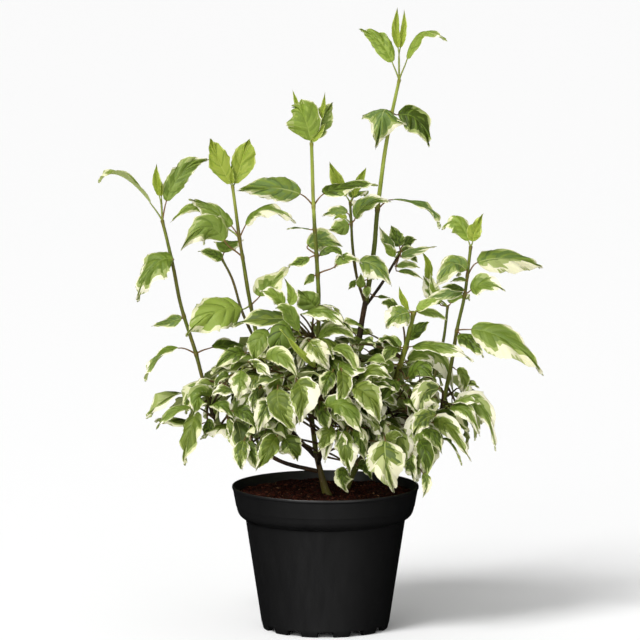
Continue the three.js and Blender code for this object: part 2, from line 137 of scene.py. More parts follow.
@dataclass
class Leaf:
    """A leaf at its true place: its node, its blade's foot, bend and tip, its shape and its colours."""

    node: Array
    foot: Array
    bend: Array
    tip: Array
    face: Array
    width: float
    tone: Tone
    cream: tuple[float, float]
    fold: float
    curl: float
    twist: float
    stalk: int


@dataclass(frozen=True)
class Blade:
    """A leaf given one by one: where its stalk ends, the point it bends over and its tip.

    They are measured from the node on a shoot, and from the pot's middle in the crown. left and right are
    the share of each half's width that the margin takes, fold lifts the halves into a trough and curl turns
    the margins down, all in hundredths.
    """

    stalk: Point
    bend: Point
    tip: Point
    width: float
    face: Point
    tone: Tone = MATURE
    left: int = 16
    right: int = 16
    fold: int = 20
    curl: int = 20

    def leaf(self, origin: Array, node: Array) -> Leaf:
        """Sets the blade at its true place.

        Args:
            origin: what its places are measured from.
            node: where its stalk leaves the twig.

        Returns:
            The leaf, on a green stalk where it is young and a red one where it isn't.
        """
        foot, bend, tip = (origin + np.asarray(place, dtype=float)
                           for place in (self.stalk, self.bend, self.tip))
        return Leaf(node, foot, bend, tip, np.asarray(self.face, dtype=float), self.width, self.tone,
                    (self.left / 100, self.right / 100), self.fold / 100, self.curl / 100, 0.0,
                    int(self.tone not in (YOUNG, FRESH)))


@dataclass(frozen=True)
class Tier:
    """The leaves that stand at one height of a limb, and the CAD node that they stand for, if any."""

    node: str
    limb: str
    height: float
    blades: tuple[Blade, ...]


@dataclass(frozen=True)
class Bush:
    """A mass of foliage: the room that its twigs fill, and the limbs that they grow from."""

    centre: Point
    radii: Point
    carriers: tuple[str, ...]
    twigs: int
    heights: tuple[float, float] = (196.0, 262.0)


LIMBS = {
    "trunk": Limb(((3, -10, 132), (-2, -10, 150), (-6, -9, 166), (-10, -8, 181)),
                  (3.9, 3.2), Wood.STEM, 2.6),
    "second_stem": Limb(((18, 26, 132), (26, 22, 152), (46, 12, 187), (61, 0, 226)),
                        (3.7, 3.2), Wood.STEM, 2.2),
    "low_bough": Limb(((-8, -10, 162), (-45, -14, 173), (-75, -16, 192), (-111, -15, 216),
                       (-118, -14, 232)), (2.3, 1.9)),
    "left_bough": Limb(((-10, -8, 177), (-34, 0, 201), (-55, 8, 234)), (3.0, 2.3)),
    "front_bough": Limb(((-7, -11, 170), (-4, -26, 184), (2, -50, 214), (4, -60, 236)), (2.4, 1.8)),
    "rear_bough": Limb(((31, 22, 163), (30, 40, 186), (22, 62, 212), (19, 74, 238)), (2.6, 2.0)),
    "right_bough": Limb(((50, 10, 194), (86, 10, 202), (111, 5, 213), (119, 0, 227)), (2.6, 2.2)),
    "back_bough": Limb(((46, 13, 186), (42, 26, 212), (33, 37, 272), (41, 42, 329)), (3.6, 3.0)),
    "shoot_outer_left": Limb(((-118, -14, 231), (-131, -14, 283), (-146, -13, 332), (-156, -12, 382),
                              (-165, -10, 419)), (2.3, 1.8), Wood.SHOOT),
    "shoot_left": Limb(((-54, 8, 231), (-70, 10, 299), (-77, 9, 336), (-87, 8, 398), (-94, 6, 452)),
                       (2.5, 1.7), Wood.SHOOT),
    "shoot_left_rear": Limb(((-68, 11, 286), (-85, 30, 321), (-95, 42, 352), (-106, 48, 373)),
                            (1.7, 1.4), Wood.THIN),
    "shoot_centre": Limb(((-9, -8, 176), (-14, -14, 228), (-9, -20, 265), (-7, -26, 340), (-12, -32, 436),
                          (-14, -34, 501)), (2.9, 1.9), Wood.SHOOT),
    "shoot_tall": Limb(((41, 42, 327), (49, 46, 376), (53, 48, 422), (63, 48, 497), (75, 44, 556)),
                       (3.0, 1.8), Wood.SHOOT),
    "shoot_rear": Limb(((41, 42, 325), (32, 34, 355), (28, 26, 384), (25, 20, 434)), (1.8, 1.5), Wood.THIN),
    "shoot_outer_right": Limb(((119, 0, 225), (128, -5, 274), (134, -8, 311), (141, -8, 343),
                               (147, -6, 392)), (2.4, 1.7), Wood.SHOOT),
    "shoot_right": Limb(((60, 0, 224), (73, -20, 265), (81, -30, 292), (89, -42, 330)),
                        (3.2, 2.6), Wood.THICK),
    "shoot_right_rear": Limb(((74, 11, 200), (92, 26, 213), (106, 40, 236), (115, 50, 264), (121, 58, 289),
                              (125, 64, 321)), (2.1, 1.5), Wood.THIN),
    "twig_centre": Limb(((-7, -25, 293), (-23, -40, 311), (-37, -50, 337)), (1.5, 1.2), Wood.THIN),
    "twig_tall": Limb(((41, 43, 324), (60, 50, 350), (77, 56, 379)), (1.7, 1.3), Wood.OLD),
}

# Leaves listed one by one, each row a blade: stalk, bend, tip, width, face, then tone, margins, fold, curl
TIERS = tuple(Tier(node, limb, height, tuple(Blade(*row) for row in rows))
              for node, limb, height, *rows in (
    ("leaves_outer_left_1", "shoot_outer_left", 418,
     ((-3, 0, 26), (-6, 0, 42), (-5, 0, 59), 9, FRONT, YOUNG, 10, 10, 70, 0),
     ((-1, 2, 25), (-3, 3, 38), (-6, 3, 50), 7, FRONT, YOUNG, 10, 10, 70, 0),
     ((-12, -4, 19), (-42, -16, 49), (-66, -24, 44), 22, LEFT_FLAT, FRESH, 10, 12, 50, 10),
     ((4, 2, 20), (20, 10, 48), (47, 20, 64), 25, RIGHT_UP, MATURE, 5, 5, 16, 12)),
    ("leaves_outer_left_2", "shoot_outer_left", 380,
     ((2, -5, 0), (-18, -14, -5), (-37, -20, -41), 38, LEFT_UP, MATURE, 16, 24, 5, 30)),
    ("leaves_outer_left_3", "shoot_outer_left", 322,
     ((-2, 2, -3), (-14, 7, -7), (-34, 14, -14), 13, FRONT_UP, BLUE, 8, 10)),
    ("leaves_outer_left_4", "shoot_outer_left", 283,
     ((-17, -6, 7), (-36, -12, -1), (-54, -18, -24), 26, (-0.7, -0.25, 0.7), MATURE, 20, 12, 35, 16),
     ((16, 4, 6), (40, 14, 4), (55, 20, -17), 24, FRONT_FLAT, DEEP, 24, 30, 30)),
    ("leaves_left_1", "shoot_left", 451,
     ((-2, -1, 3), (-16, -4, 31), (-22, -6, 50), 24, FRONT, YOUNG, 6, 6, 24, 10),
     ((2, 1, 3), (10, 3, 30), (14, 4, 49), 23, FRONT, YOUNG, 8, 6, 30, 10),
     ((0, -1, 3), (-1, -3, 12), (1, -3, 22), 6, FRONT, YOUNG, 10, 10, 70, 0)),
    ("leaves_left_2", "shoot_left", 398,
     ((-8, 3, 12), (-27, 8, 28), (-52, 14, 39), 23, (0, -0.7, 0.7), MATURE, 12, 8, 10, 30),
     ((6, -4, 14), (27, -14, 32), (58, -26, 20), 26, FRONT_FLAT, MATURE, 14, 50, 10, 30),
     ((-35, 14, 24), (-50, 16, 29), (-71, 18, 14), 10, FRONT_UP, FRESH, 30, 10)),
    ("leaves_left_3", "shoot_left", 379,
     ((-18, -5, 17), (-38, -14, 32), (-64, -22, 9), 31, FRONT, MATURE, 16, 6, -10, 30)),
    ("leaves_left_4", "shoot_left", 329,
     ((-9, -10, -2), (-36, -28, -2), (-68, -38, -24), 47, FRONT_UP, FRESH, 24, 10, -10, 30),
     ((9, 3, 9), (20, 12, 20), (40, 22, 38), 26, LEFT_UP, MATURE, 30, 30, 30)),
    ("leaves_left_rear", "shoot_left_rear", 372,
     ((1, -2, 0), (-9, -4, 5), (-24, -6, 10), 14, FRONT_UP, DEEP, 20, 10),
     ((2, 6, 5), (8, 26, 14), (12, 52, 4), 28, SKY, MATURE, 16, 16, 16, 16)),
    ("leaves_centre_1", "shoot_centre", 500,
     ((-1, -2, 3), (-9, -10, 31), (-22, 0, 40), 33, FRONT, FRESH, 3, 3, 10, 30),
     ((-7, 1, 20), (-14, 0, 38), (-19, 1, 55), 5, FRONT, YOUNG, 10, 10, 60, 0),
     ((1, 2, 4), (11, 5, 25), (22, 8, 41), 23, FRONT, MATURE, 6, 6, 10, 30),
     ((1, 0, 14), (10, 1, 32), (13, 1, 53), 8, FRONT, YOUNG, 10, 10, 50, 0),
     ((1, -2, 2), (7, -3, 12), (15, -3, 21), 8, FRONT, YOUNG, 10, 10, 50, 0)),
    ("leaves_centre_2", "shoot_centre", 436,
     ((-13, -4, 13), (-42, -18, 21), (-77, -28, 18), 32, FRONT, BLUE, 14, 5, 6, 30),
     ((10, 5, 12), (31, 14, 19), (65, 26, 22), 24, FRONT_FLAT, DEEP, 14, 16, 20, 30)),
    ("", "shoot_centre", 412,
     ((-5, 2, 0), (-16, 6, 1), (-29, 10, 0), 9, SKY, DEEP, 10, 10)),
    ("leaves_centre_3", "shoot_centre", 386,
     ((-9, 5, 9), (7, 8, 14), (28, 11, 8), 21, FRONT, BLUE, 20, 20, 10, 30),
     ((-7, -3, -2), (-17, -6, -6), (-29, -10, -9), 10, FRONT_UP, DEEP, 20, 20, 30),
     ((3, 3, -1), (17, 6, 5), (29, 8, -5), 10, FRONT_UP, DEEP, 10, 10, 20, 30)),
    ("", "shoot_centre", 366,
     ((19, 6, 9), (30, 10, 15), (46, 14, 11), 13, FRONT_UP, MATURE, 20, 20),
     ((-3, 2, -1), (-8, 3, -5), (-14, 4, -12), 9, FRONT_UP, MATURE, 10, 10)),
    ("", "shoot_centre", 325,
     ((-2, -5, 7), (-10, -9, 16), (-20, -11, 28), 26, FRONT, MATURE, 6, 6, 10)),
    ("leaves_tall_1", "shoot_tall", 555,
     ((-1, 0, 33), (-3, 0, 53), (-2, 0, 75), 9, FRONT, YOUNG, 10, 10, 70, 0),
     ((1, 1, 33), (4, 1, 51), (5, 1, 73), 8, FRONT, YOUNG, 10, 10, 70, 0),
     ((-7, 3, 18), (-22, 8, 41), (-42, 16, 48), 24, FRONT_UP, FRESH, 6, 5, 14, 30),
     ((8, -4, 22), (24, -12, 49), (48, -22, 42), 19, FRONT_FLAT, FRESH, 5, 5, 10, 40)),
    ("leaves_tall_2", "shoot_tall", 521,
     ((-2, -7, 3), (-10, -24, 2), (-13, -30, -34), 44, (-0.1, -0.6, 0.8), BLUE, 8, 10, -40, 16),
     ((6, 4, -2), (27, 5, -8), (36, 8, -37), 30, (0.2, -0.8, 0.6), DEEP, 6, 14, -10, 16)),
    ("leaves_tall_3", "shoot_tall", 422,
     ((15, -4, 11), (48, -14, 4), (66, -20, -16), 22, SKY, BLUE, 8, 12, 30),
     ((-5, 6, 3), (-16, 20, 6), (-24, 40, 0), 24, SKY, MATURE, 16, 16, 16, 16)),
    ("leaves_tall_side", "twig_tall", 378,
     ((-8, -4, 0), (-14, -7, 13), (-22, -9, 27), 11, FRONT, BLUE, 20, 10, 20, 10),
     ((-1, 2, 5), (-4, 4, 15), (-8, 6, 27), 18, FRONT, DEEP, 6, 6, 10),
     ((1, -5, -5), (13, -9, 1), (37, -13, 8), 11, FRONT_UP, BLUE, 10, 30),
     ((-4, -3, -15), (8, -6, -13), (20, -9, -16), 9, FRONT_UP, MATURE, 30, 30, 30),
     ((-6, -8, -4), (-11, -11, 4), (-18, -13, 11), 10, FRONT, FRESH, 10, 20, 20, 10),
     ((2, 4, 5), (9, 7, 10), (17, 9, 10), 12, FRONT, DEEP, 6, 10, 10),
     ((1, -2, 1), (8, -4, 3), (16, -6, 3), 9, FRONT, DEEP, 20, 10, 10),
     ((10, -4, -3), (14, -6, -6), (17, -7, -11), 7, FRONT, DEEP, 20, 20),
     ((-2, -4, -20), (11, -6, -21), (24, -8, -28), 7, FRONT_UP, DEEP, 20, 20, 30)),
    ("leaves_rear_1", "shoot_rear", 433,
     ((-4, -2, 7), (-13, -4, 24), (-21, -4, 43), 12, FRONT, YOUNG, 8, 8, 50, 0),
     ((3, -2, 7), (9, -4, 22), (16, -4, 37), 12, FRONT, YOUNG, 8, 8, 50, 0),
     ((3, 5, 4), (9, 18, 9), (17, 32, 0), 18, SKY, MATURE, 16, 16, 16, 16)),
    ("leaves_rear_2", "shoot_rear", 411,
     ((-4, 2, 11), (-16, 7, 13), (-30, 14, 5), 13, FRONT_UP, BLUE, 14, 20, 10, 30),
     ((4, -3, 6), (15, -12, 21), (40, -24, 29), 20, LEFT_UP, BLUE, 12, 14, 30),
     ((-2, -2, 0), (-11, -5, -3), (-23, -8, -7), 17, FRONT, MATURE, 10, 14, 10, 30),
     ((-5, 0, 5), (-11, 1, 8), (-19, 2, 4), 8, FRONT_UP, YOUNG, 10, 10, 30)),
    ("leaves_rear_3", "shoot_rear", 374,
     ((-5, -3, 1), (-12, -9, 1), (-20, -16, -6), 17, FRONT_FLAT, DEEP, 20, 20),
     ((5, -6, -2), (22, -14, -5), (40, -20, -24), 21, FRONT_UP, BLUE, 6, 20, 10, 30)),
    ("", "shoot_rear", 350,
     ((3, -3, -6), (3, -5, 1), (2, -6, 10), 11, FRONT, MATURE, 10, 10),
     ((-1, -2, -2), (-5, -4, -2), (-10, -6, -8), 8, FRONT, DEEP, 10, 10),
     ((8, -2, -5), (9, -5, -10), (9, -6, -17), 9, FRONT, MATURE, 20, 20),
     ((10, -1, 3), (15, -2, 6), (21, -3, 3), 8, FRONT_UP, DEEP, 10, 10),
     ((20, 2, -16), (26, 2, -16), (33, 2, -17), 5, FRONT_UP, DEEP, 10, 10, 30)),
    ("leaves_outer_right_1", "shoot_outer_right", 391,
     ((-2, 1, 6), (-14, 4, 25), (-30, 8, 17), 19, (-0.2, -0.6, 0.7), FRESH, 16, 16, 20, 30),
     ((2, -1, 6), (5, -3, 19), (13, -5, 35), 15, FRONT, YOUNG, 10, 20, 30, 10)),
    ("leaves_outer_right_2", "shoot_outer_right", 362,
     ((10, 4, 13), (42, 14, 16), (79, 26, 4), 32, FRONT_UP, BLUE, 10, 62, 4, 30),
     ((-1, -4, 6), (-17, -14, 13), (-30, -22, -12), 28, LEFT_UP, BLUE, 14, 14, 10, 30),
     ((-1, -2, -5), (-9, -4, -3), (-18, -6, -6), 6, FRONT_UP, MATURE, 30, 20)),
    ("leaves_outer_right_3", "shoot_outer_right", 342,
     ((6, -5, 6), (19, -14, 13), (42, -24, 11), 23, FRONT_UP, MATURE, 16, 20),
     ((-2, 4, 2), (-18, 10, 0), (-47, 16, -9), 13, FRONT_UP, BLUE, 20, 20),
     ((0, -2, 5), (-12, -4, 9), (-24, -6, 9), 7, FRONT_UP, DEEP, 10, 10, 30)),
    ("leaves_outer_right_4", "shoot_outer_right", 306,
     ((14, -6, 2), (49, -20, -6), (91, -30, -38), 34, RIGHT_UP, MATURE, 12, 26, 6),
     ((3, -7, -2), (14, -18, -9), (28, -26, -23), 22, FRONT_FLAT, DEEP, 30, 10, 10, 30)),
    ("leaves_right_1", "shoot_right", 329,
     ((-5, 0, 3), (-11, -2, 15), (-15, -3, 28), 7, FRONT, YOUNG, 10, 10, 70, 0),
     ((-4, -4, 1), (-17, -14, -1), (-31, -22, -11), 25, FRONT_UP, BLUE, 16, 20, 10, 30),
     ((3, 2, 1), (19, 8, -1), (35, 14, -9), 10, FRONT_UP, MATURE, 10, 14, 20, 30),
     ((3, -2, 3), (14, -5, 11), (29, -8, 15), 12, FRONT_UP, FRESH, 10, 20)),
    ("leaves_right_2", "shoot_right", 292,
     ((7, -5, 2), (34, -20, 5), (69, -30, -9), 24, FRONT_FLAT, MATURE, 30, 14, 10, 30),
     ((-5, 3, 0), (-16, 8, 6), (-28, 14, 7), 19, FRONT_UP, MATURE, 16, 20)),
    ("", "shoot_right", 273,
     ((8, 10, 3), (38, 32, 5), (54, 26, -34), 22, FRONT_UP, MATURE, 20, 70, 20, 30),
     ((-6, -6, 2), (-20, -16, 0), (-33, -22, -16), 22, FRONT_UP, MATURE, 20, 20, 10, 30)),
    ("leaves_right_rear", "shoot_right_rear", 320,
     ((-22, 0, 23), (-19, 4, 41), (-28, 6, 57), 9, FRONT, YOUNG, 10, 10, 60, 10),
     ((3, 3, 3), (12, 14, 10), (22, 30, 4), 20, SKY, MATURE, 16, 16, 16, 16),
     ((-8, -2, 3), (-17, -3, 18), (-25, -4, 33), 15, FRONT, MATURE, 40, 30, 10),
     ((-7, -4, 5), (-14, -7, 19), (-18, -8, 36), 10, FRONT, FRESH, 30, 30)),
    ("leaves_twig_centre", "twig_centre", 336,
     ((0, 0, 3), (2, -1, 14), (-6, -2, 31), 12, FRONT, FRESH, 6, 6, 50, 10),
     ((-5, -2, 3), (-15, -6, 13), (-30, -8, 18), 16, FRONT_UP, FRESH)),
))

FRONT_LEAVES = tuple(Blade(*row) for row in (
    ((-48, -96, 260), (-45, -108, 241), (-29, -104, 216), 31, FRONT, MATURE, 22, 14, 10, 15),
    ((-29, -98, 268), (-23, -112, 254), (-28, -108, 224), 29, FRONT, MATURE, 45, 12, 16, 15),
    ((-84, -84, 277), (-86, -96, 264), (-88, -94, 246), 22, FRONT_UP, FRESH, 40, 50, 10),
    ((-91, -70, 253), (-103, -78, 256), (-116, -80, 251), 14, FRONT_FLAT, BLUE, 20, 20),
    ((-118, -22, 241), (-128, -44, 243), (-133, -46, 224), 28, FRONT, FRESH, 12, 10, 5, 30),
    ((-136, -30, 230), (-154, -36, 227), (-173, -40, 211), 16, SKY, FRESH, 12, 12, 30, 15),
    ((-131, -28, 226), (-138, -42, 205), (-147, -38, 174), 25, FRONT, MATURE, 26, 5, 12, 15),
    ((-120, -20, 217), (-119, -26, 207), (-126, -20, 195), 14, FRONT, DEEP, 20, 5),
    ((-116, -34, 233), (-104, -46, 235), (-93, -46, 219), 18, FRONT_UP, DEEP, 10, 15, 30, 30),
    ((-97, -60, 268), (-105, -64, 267), (-114, -60, 254), 11, FRONT_UP, DEEP, 10, 10),
    ((-81, -40, 288), (-96, -50, 287), (-114, -50, 273), 18, FRONT_UP, DEEP, 20, 10, 10),
    ((-58, -60, 314), (-69, -70, 301), (-74, -66, 280), 23, FRONT, FRESH, 8, 6, 10),
    ((-36, -62, 322), (-46, -72, 308), (-50, -68, 286), 28, FRONT, DEEP, 5, 5, 8, 25),
    ((-10, -70, 279), (-26, -82, 295), (-46, -80, 320), 11, FRONT_UP, YOUNG, 10, 10, 45, 5),
    ((-59, -80, 288), (-43, -93, 292), (-28, -96, 268), 18, FRONT_UP, FRESH, 25, 25, 40, 25),
    ((-76, -76, 284), (-66, -86, 281), (-55, -88, 268), 15, FRONT, BLUE, 50, 40, 10),
    ((-56, -86, 244), (-62, -98, 236), (-68, -94, 213), 21, FRONT, BLUE, 20, 20, 10),
    ((-67, -80, 257), (-72, -90, 249), (-74, -88, 233), 16, FRONT, BLUE, 30, 30, 20, 30),
    ((-93, -56, 231), (-79, -68, 230), (-69, -70, 211), 17, FRONT_UP, DEEP, 5, 10),
    ((-82, -56, 201), (-85, -68, 189), (-86, -66, 171), 16, FRONT, BLUE, 20, 10, 15),
    ((-76, -50, 200), (-74, -58, 186), (-69, -56, 170), 14, FRONT, DEEP, 10, 35),
    ((-49, -66, 207), (-58, -82, 195), (-70, -76, 171), 26, FRONT, MATURE, 10, 25, 12),
    ((-43, -58, 204), (-35, -70, 197), (-29, -60, 179), 23, FRONT, DEEP, 5, 30, 10, 55),
    ((-10, -66, 243), (-19, -74, 238), (-25, -70, 231), 15, FRONT, DEEP, 10, 10),
    ((-6, -66, 241), (-2, -80, 229), (3, -76, 210), 17, FRONT, DEEP, 15, 20, 20, 30),
    ((-99, -44, 221), (-96, -51, 213), (-97, -50, 202), 9, FRONT, BLUE, 20, 20),
    ((2, -100, 242), (21, -117, 244), (42, -112, 211), 31, FRONT_UP, FRESH, 14, 14, 10, 25),
    ((27, -92, 262), (44, -111, 254), (58, -108, 227), 29, FRONT_UP, MATURE, 14, 12, 10, 25),
    ((16, -94, 278), (17, -106, 264), (11, -104, 243), 21, FRONT, MATURE, 20, 16, 14),
    ((7, -88, 276), (1, -98, 266), (-3, -96, 249), 16, FRONT, DEEP, 20, 20),
    ((6, -70, 296), (21, -86, 296), (36, -88, 273), 20, FRONT_UP, FRESH, 30, 20, 15, 25),
    ((-16, -68, 304), (-8, -81, 295), (6, -80, 275), 21, FRONT, BLUE, 40, 35, 10),
    ((28, -84, 270), (23, -92, 260), (17, -90, 244), 10, FRONT, DEEP, 10, 30, 30),
    ((32, -72, 264), (49, -92, 278), (68, -92, 266), 16, FRONT_UP, MATURE, 20, 20, 20, 30),
    ((36, -60, 275), (49, -78, 287), (64, -78, 281), 14, FRONT_FLAT, FRESH, 15, 25, 25, 25),
    ((41, -70, 252), (55, -85, 262), (73, -88, 256), 13, FRONT_FLAT, DEEP, 25, 25),
    ((73, -62, 263), (63, -74, 257), (53, -70, 239), 19, FRONT_UP, DEEP, 2, 5, 10),
    ((60, -100, 208), (61, -115, 188), (70, -106, 153), 34, FRONT, BLUE, 48, 46, 10, 15),
    ((21, -50, 171), (17, -58, 162), (22, -58, 147), 19, FRONT, DEEP, 30, 30, 15),
    ((22, -76, 214), (20, -90, 195), (27, -84, 170), 22, FRONT, MATURE, 35, 30, 12),
    ((5, -70, 215), (2, -81, 201), (-3, -76, 181), 14, FRONT, BLUE, 40, 50),
    ((27, -70, 213), (36, -82, 205), (39, -78, 183), 17, FRONT, DEEP, 30, 10),
    ((9, -78, 217), (0, -88, 209), (-6, -84, 192), 19, FRONT, MATURE, 20, 20, 10),
    ((13, -76, 214), (16, -86, 202), (16, -82, 187), 13, FRONT, FRESH, 50, 40),
    ((33, -44, 174), (40, -54, 174), (48, -54, 160), 15, FRONT_UP, DEEP, 10, 10, 15),
    ((110, -80, 230), (97, -95, 227), (86, -92, 208), 24, FRONT, BLUE, 15, 12, 10, 25),
    ((114, -70, 256), (98, -86, 250), (101, -84, 224), 26, FRONT, BLUE, 50, 50, 10, 30),
    ((79, -60, 244), (91, -75, 241), (97, -72, 223), 17, FRONT_UP, DEEP, 15, 15),
    ((84, -46, 264), (97, -62, 276), (111, -60, 261), 22, FRONT_UP, DEEP, 2, 2, 5, 30),
    ((136, 0, 246), (144, -14, 253), (156, -20, 249), 13, FRONT_UP, MATURE, 10, 10),
    ((133, -10, 266), (139, -17, 259), (140, -16, 241), 14, FRONT, MATURE, 10, 50),
    ((128, -30, 235), (142, -45, 241), (157, -46, 236), 13, SKY, FRESH, 20, 20),
    ((126, -34, 231), (143, -51, 229), (155, -50, 202), 18, FRONT_UP, FRESH, 20, 30, 20, 25),
    ((131, -20, 231), (157, -35, 234), (175, -34, 187), 23, RIGHT_UP, FRESH, 60, 10, 20, 25),
    ((109, -44, 217), (126, -60, 213), (147, -60, 179), 19, FRONT_UP, MATURE, 20, 15),
    ((114, -40, 199), (125, -53, 199), (140, -54, 175), 13, SKY, DEEP, 10, 10),
    ((99, -62, 211), (109, -75, 209), (117, -74, 189), 17, FRONT_UP, DEEP, 10, 15),
    ((94, -72, 203), (101, -86, 190), (100, -80, 163), 18, FRONT, DEEP, 2, 5, 15, 25),
    ((86, -80, 189), (86, -92, 180), (91, -88, 163), 19, FRONT, DEEP, 35, 30, 15, 25),
    ((98, -84, 172), (102, -94, 163), (97, -92, 148), 11, FRONT, BLUE, 20, 20),
    ((62, -88, 205), (69, -93, 213), (79, -90, 211), 12, FRONT, MATURE, 10, 10),
    ((78, -20, 288), (64, -31, 301), (51, -34, 298), 17, FRONT_FLAT, DEEP, 10, 10),
    ((76, -30, 290), (65, -43, 290), (55, -44, 274), 15, FRONT_UP, DEEP, 10, 10),
    ((-7, -50, 305), (12, -68, 317), (29, -68, 303), 17, FRONT_UP, FRESH, 35, 10, 15, 25),
    ((33, -30, 290), (41, -45, 303), (52, -46, 295), 15, FRONT_UP, DEEP, 10, 10, 10),
    ((-13, -56, 304), (-21, -66, 293), (-26, -64, 271), 13, FRONT, BLUE, 40, 30),
    ((-29, -52, 304), (-36, -60, 294), (-38, -58, 279), 16, FRONT, DEEP, 10, 10),
    ((-45, -76, 268), (-60, -89, 268), (-75, -88, 258), 18, FRONT_UP, BLUE, 10, 10, 15),
    ((-8, -52, 335), (7, -66, 339), (20, -66, 322), 17, SKY, FRESH, 30, 30, 20, 30),
    ((-22, -60, 331), (1, -76, 335), (22, -78, 318), 20, FRONT_FLAT, FRESH, 35, 30, 20, 35),
    ((-27, -74, 315), (-38, -84, 337), (-51, -84, 340), 16, FRONT, FRESH, 8, 8),
    ((-32, -44, 323), (-63, -56, 325), (-95, -58, 319), 26, FRONT_UP, BLUE, 6, 8, 10),
    ((41, -30, 309), (28, -44, 320), (13, -46, 318), 15, FRONT_FLAT, FRESH, 25, 30, 20, 30),
    ((75, 10, 321), (65, 2, 332), (56, 0, 333), 14, FRONT_UP, DEEP, 10, 10),
    ((85, -16, 298), (94, -22, 310), (105, -22, 318), 15, FRONT_UP, DEEP, 5, 5),
    ((27, -52, 297), (17, -66, 293), (5, -66, 296), 15, FRONT_FLAT, DEEP, 10, 10),
    ((15, -72, 284), (27, -88, 279), (43, -90, 279), 16, FRONT_FLAT, FRESH, 30, 30, 30),
    ((-26, -74, 268), (-14, -88, 275), (2, -90, 267), 17, FRONT_FLAT, FRESH, 30, 30, 20, 30),
))

YOUNG_TIERS = ("leaves_left_1", "leaves_centre_1", "leaves_tall_1", "leaves_outer_right_1")

# The material slot of each piece of the crown, and the CAD nodes that it stands for
CROWN_PIECES = {
    "crown_front_leaves": ("leaf", "mass_front_left", "mass_front_right"),
    "crown_left_leaves": ("leaf", "mass_outer_left", "mass_left_front", "mass_left_rear", "mass_hang_left",
                          "mass_rear_left"),
    "crown_right_leaves": ("leaf", "mass_top", "mass_rear_right", "mass_right", "mass_outer_right",
                           "mass_hang_right"),
    "crown_leaf_stalks": ("green_bark",),
    "crown_twigs": ("old_bark",),
}

# The crown's edges as the front view shows them: places across, and heights up the picture
CROWN_TOP = (
    (-178, -147, -117, -76, -26, -6, 25, 50, 76, 116, 157, 177),
    (226, 243, 258, 294, 299, 310, 310, 297, 280, 266, 258, 221))
CROWN_FOOT = (
    (-178, -150, -122, -95, -87, -58, -50, -34, -26, -4, 4, 20, 27, 45, 67, 80, 88, 100, 106, 121, 139,
     157, 177),
    (203, 186, 191, 195, 164, 160, 169, 173, 208, 208, 176, 176, 160, 162, 142, 160, 152, 142, 173, 181,
     176, 193, 186))
CROWN_REACH = (180.0, 136.0, 90.0)
SHOWN_STEMS = ("shoot_right", "shoot_outer_right")

BUSHES = (
    Bush((-134, -8, 216), (30, 26, 24), ("low_bough", "shoot_outer_left"), 5, (205, 250)),
    Bush((-76, -36, 254), (44, 44, 36), ("left_bough", "shoot_left", "low_bough"), 7),
    Bush((-76, 58, 246), (44, 44, 36), ("left_bough", "shoot_left"), 9),
    Bush((-72, -26, 192), (24, 22, 20), ("low_bough",), 4, (172, 200)),
    Bush((-30, -70, 250), (40, 40, 42), ("front_bough", "shoot_centre"), 8),
    Bush((32, -72, 246), (42, 40, 42), ("front_bough", "second_stem"), 8),
    Bush((8, 6, 286), (80, 44, 20), ("back_bough", "shoot_centre", "shoot_right"), 9, (200, 290)),
    Bush((-26, 84, 238), (44, 38, 38), ("rear_bough", "back_bough"), 9),
    Bush((62, 80, 236), (48, 40, 38), ("rear_bough", "shoot_right_rear"), 9),
    Bush((94, -28, 234), (38, 40, 36), ("right_bough", "second_stem"), 7, (190, 230)),
    Bush((136, 4, 220), (32, 32, 30), ("right_bough", "shoot_outer_right"), 6, (205, 262)),
    Bush((72, -56, 186), (24, 20, 24), ("second_stem",), 4, (180, 215)),
)


def unit(vectors: Array) -> Array:
    """Scales vectors, whose x, y, z are the last axis, to length 1."""
    return vectors / np.maximum(np.linalg.norm(vectors, axis=-1, keepdims=True), TINY)


def linear(colour: Colour) -> tuple[float, float, float, float]:
    """Turns a screen colour of 0 to 255 into the linear colour that a shader takes, with an alpha of 1.

    Args:
        colour: red, green and blue as a screen shows them.

    Returns:
        Linear red, green and blue, and alpha.
    """
    share = np.asarray(colour) / 255
    value = np.where(share < 0.04045, share / 12.92, ((share + 0.055) / 1.055) ** 2.4)
    return (*value.tolist(), 1.0)


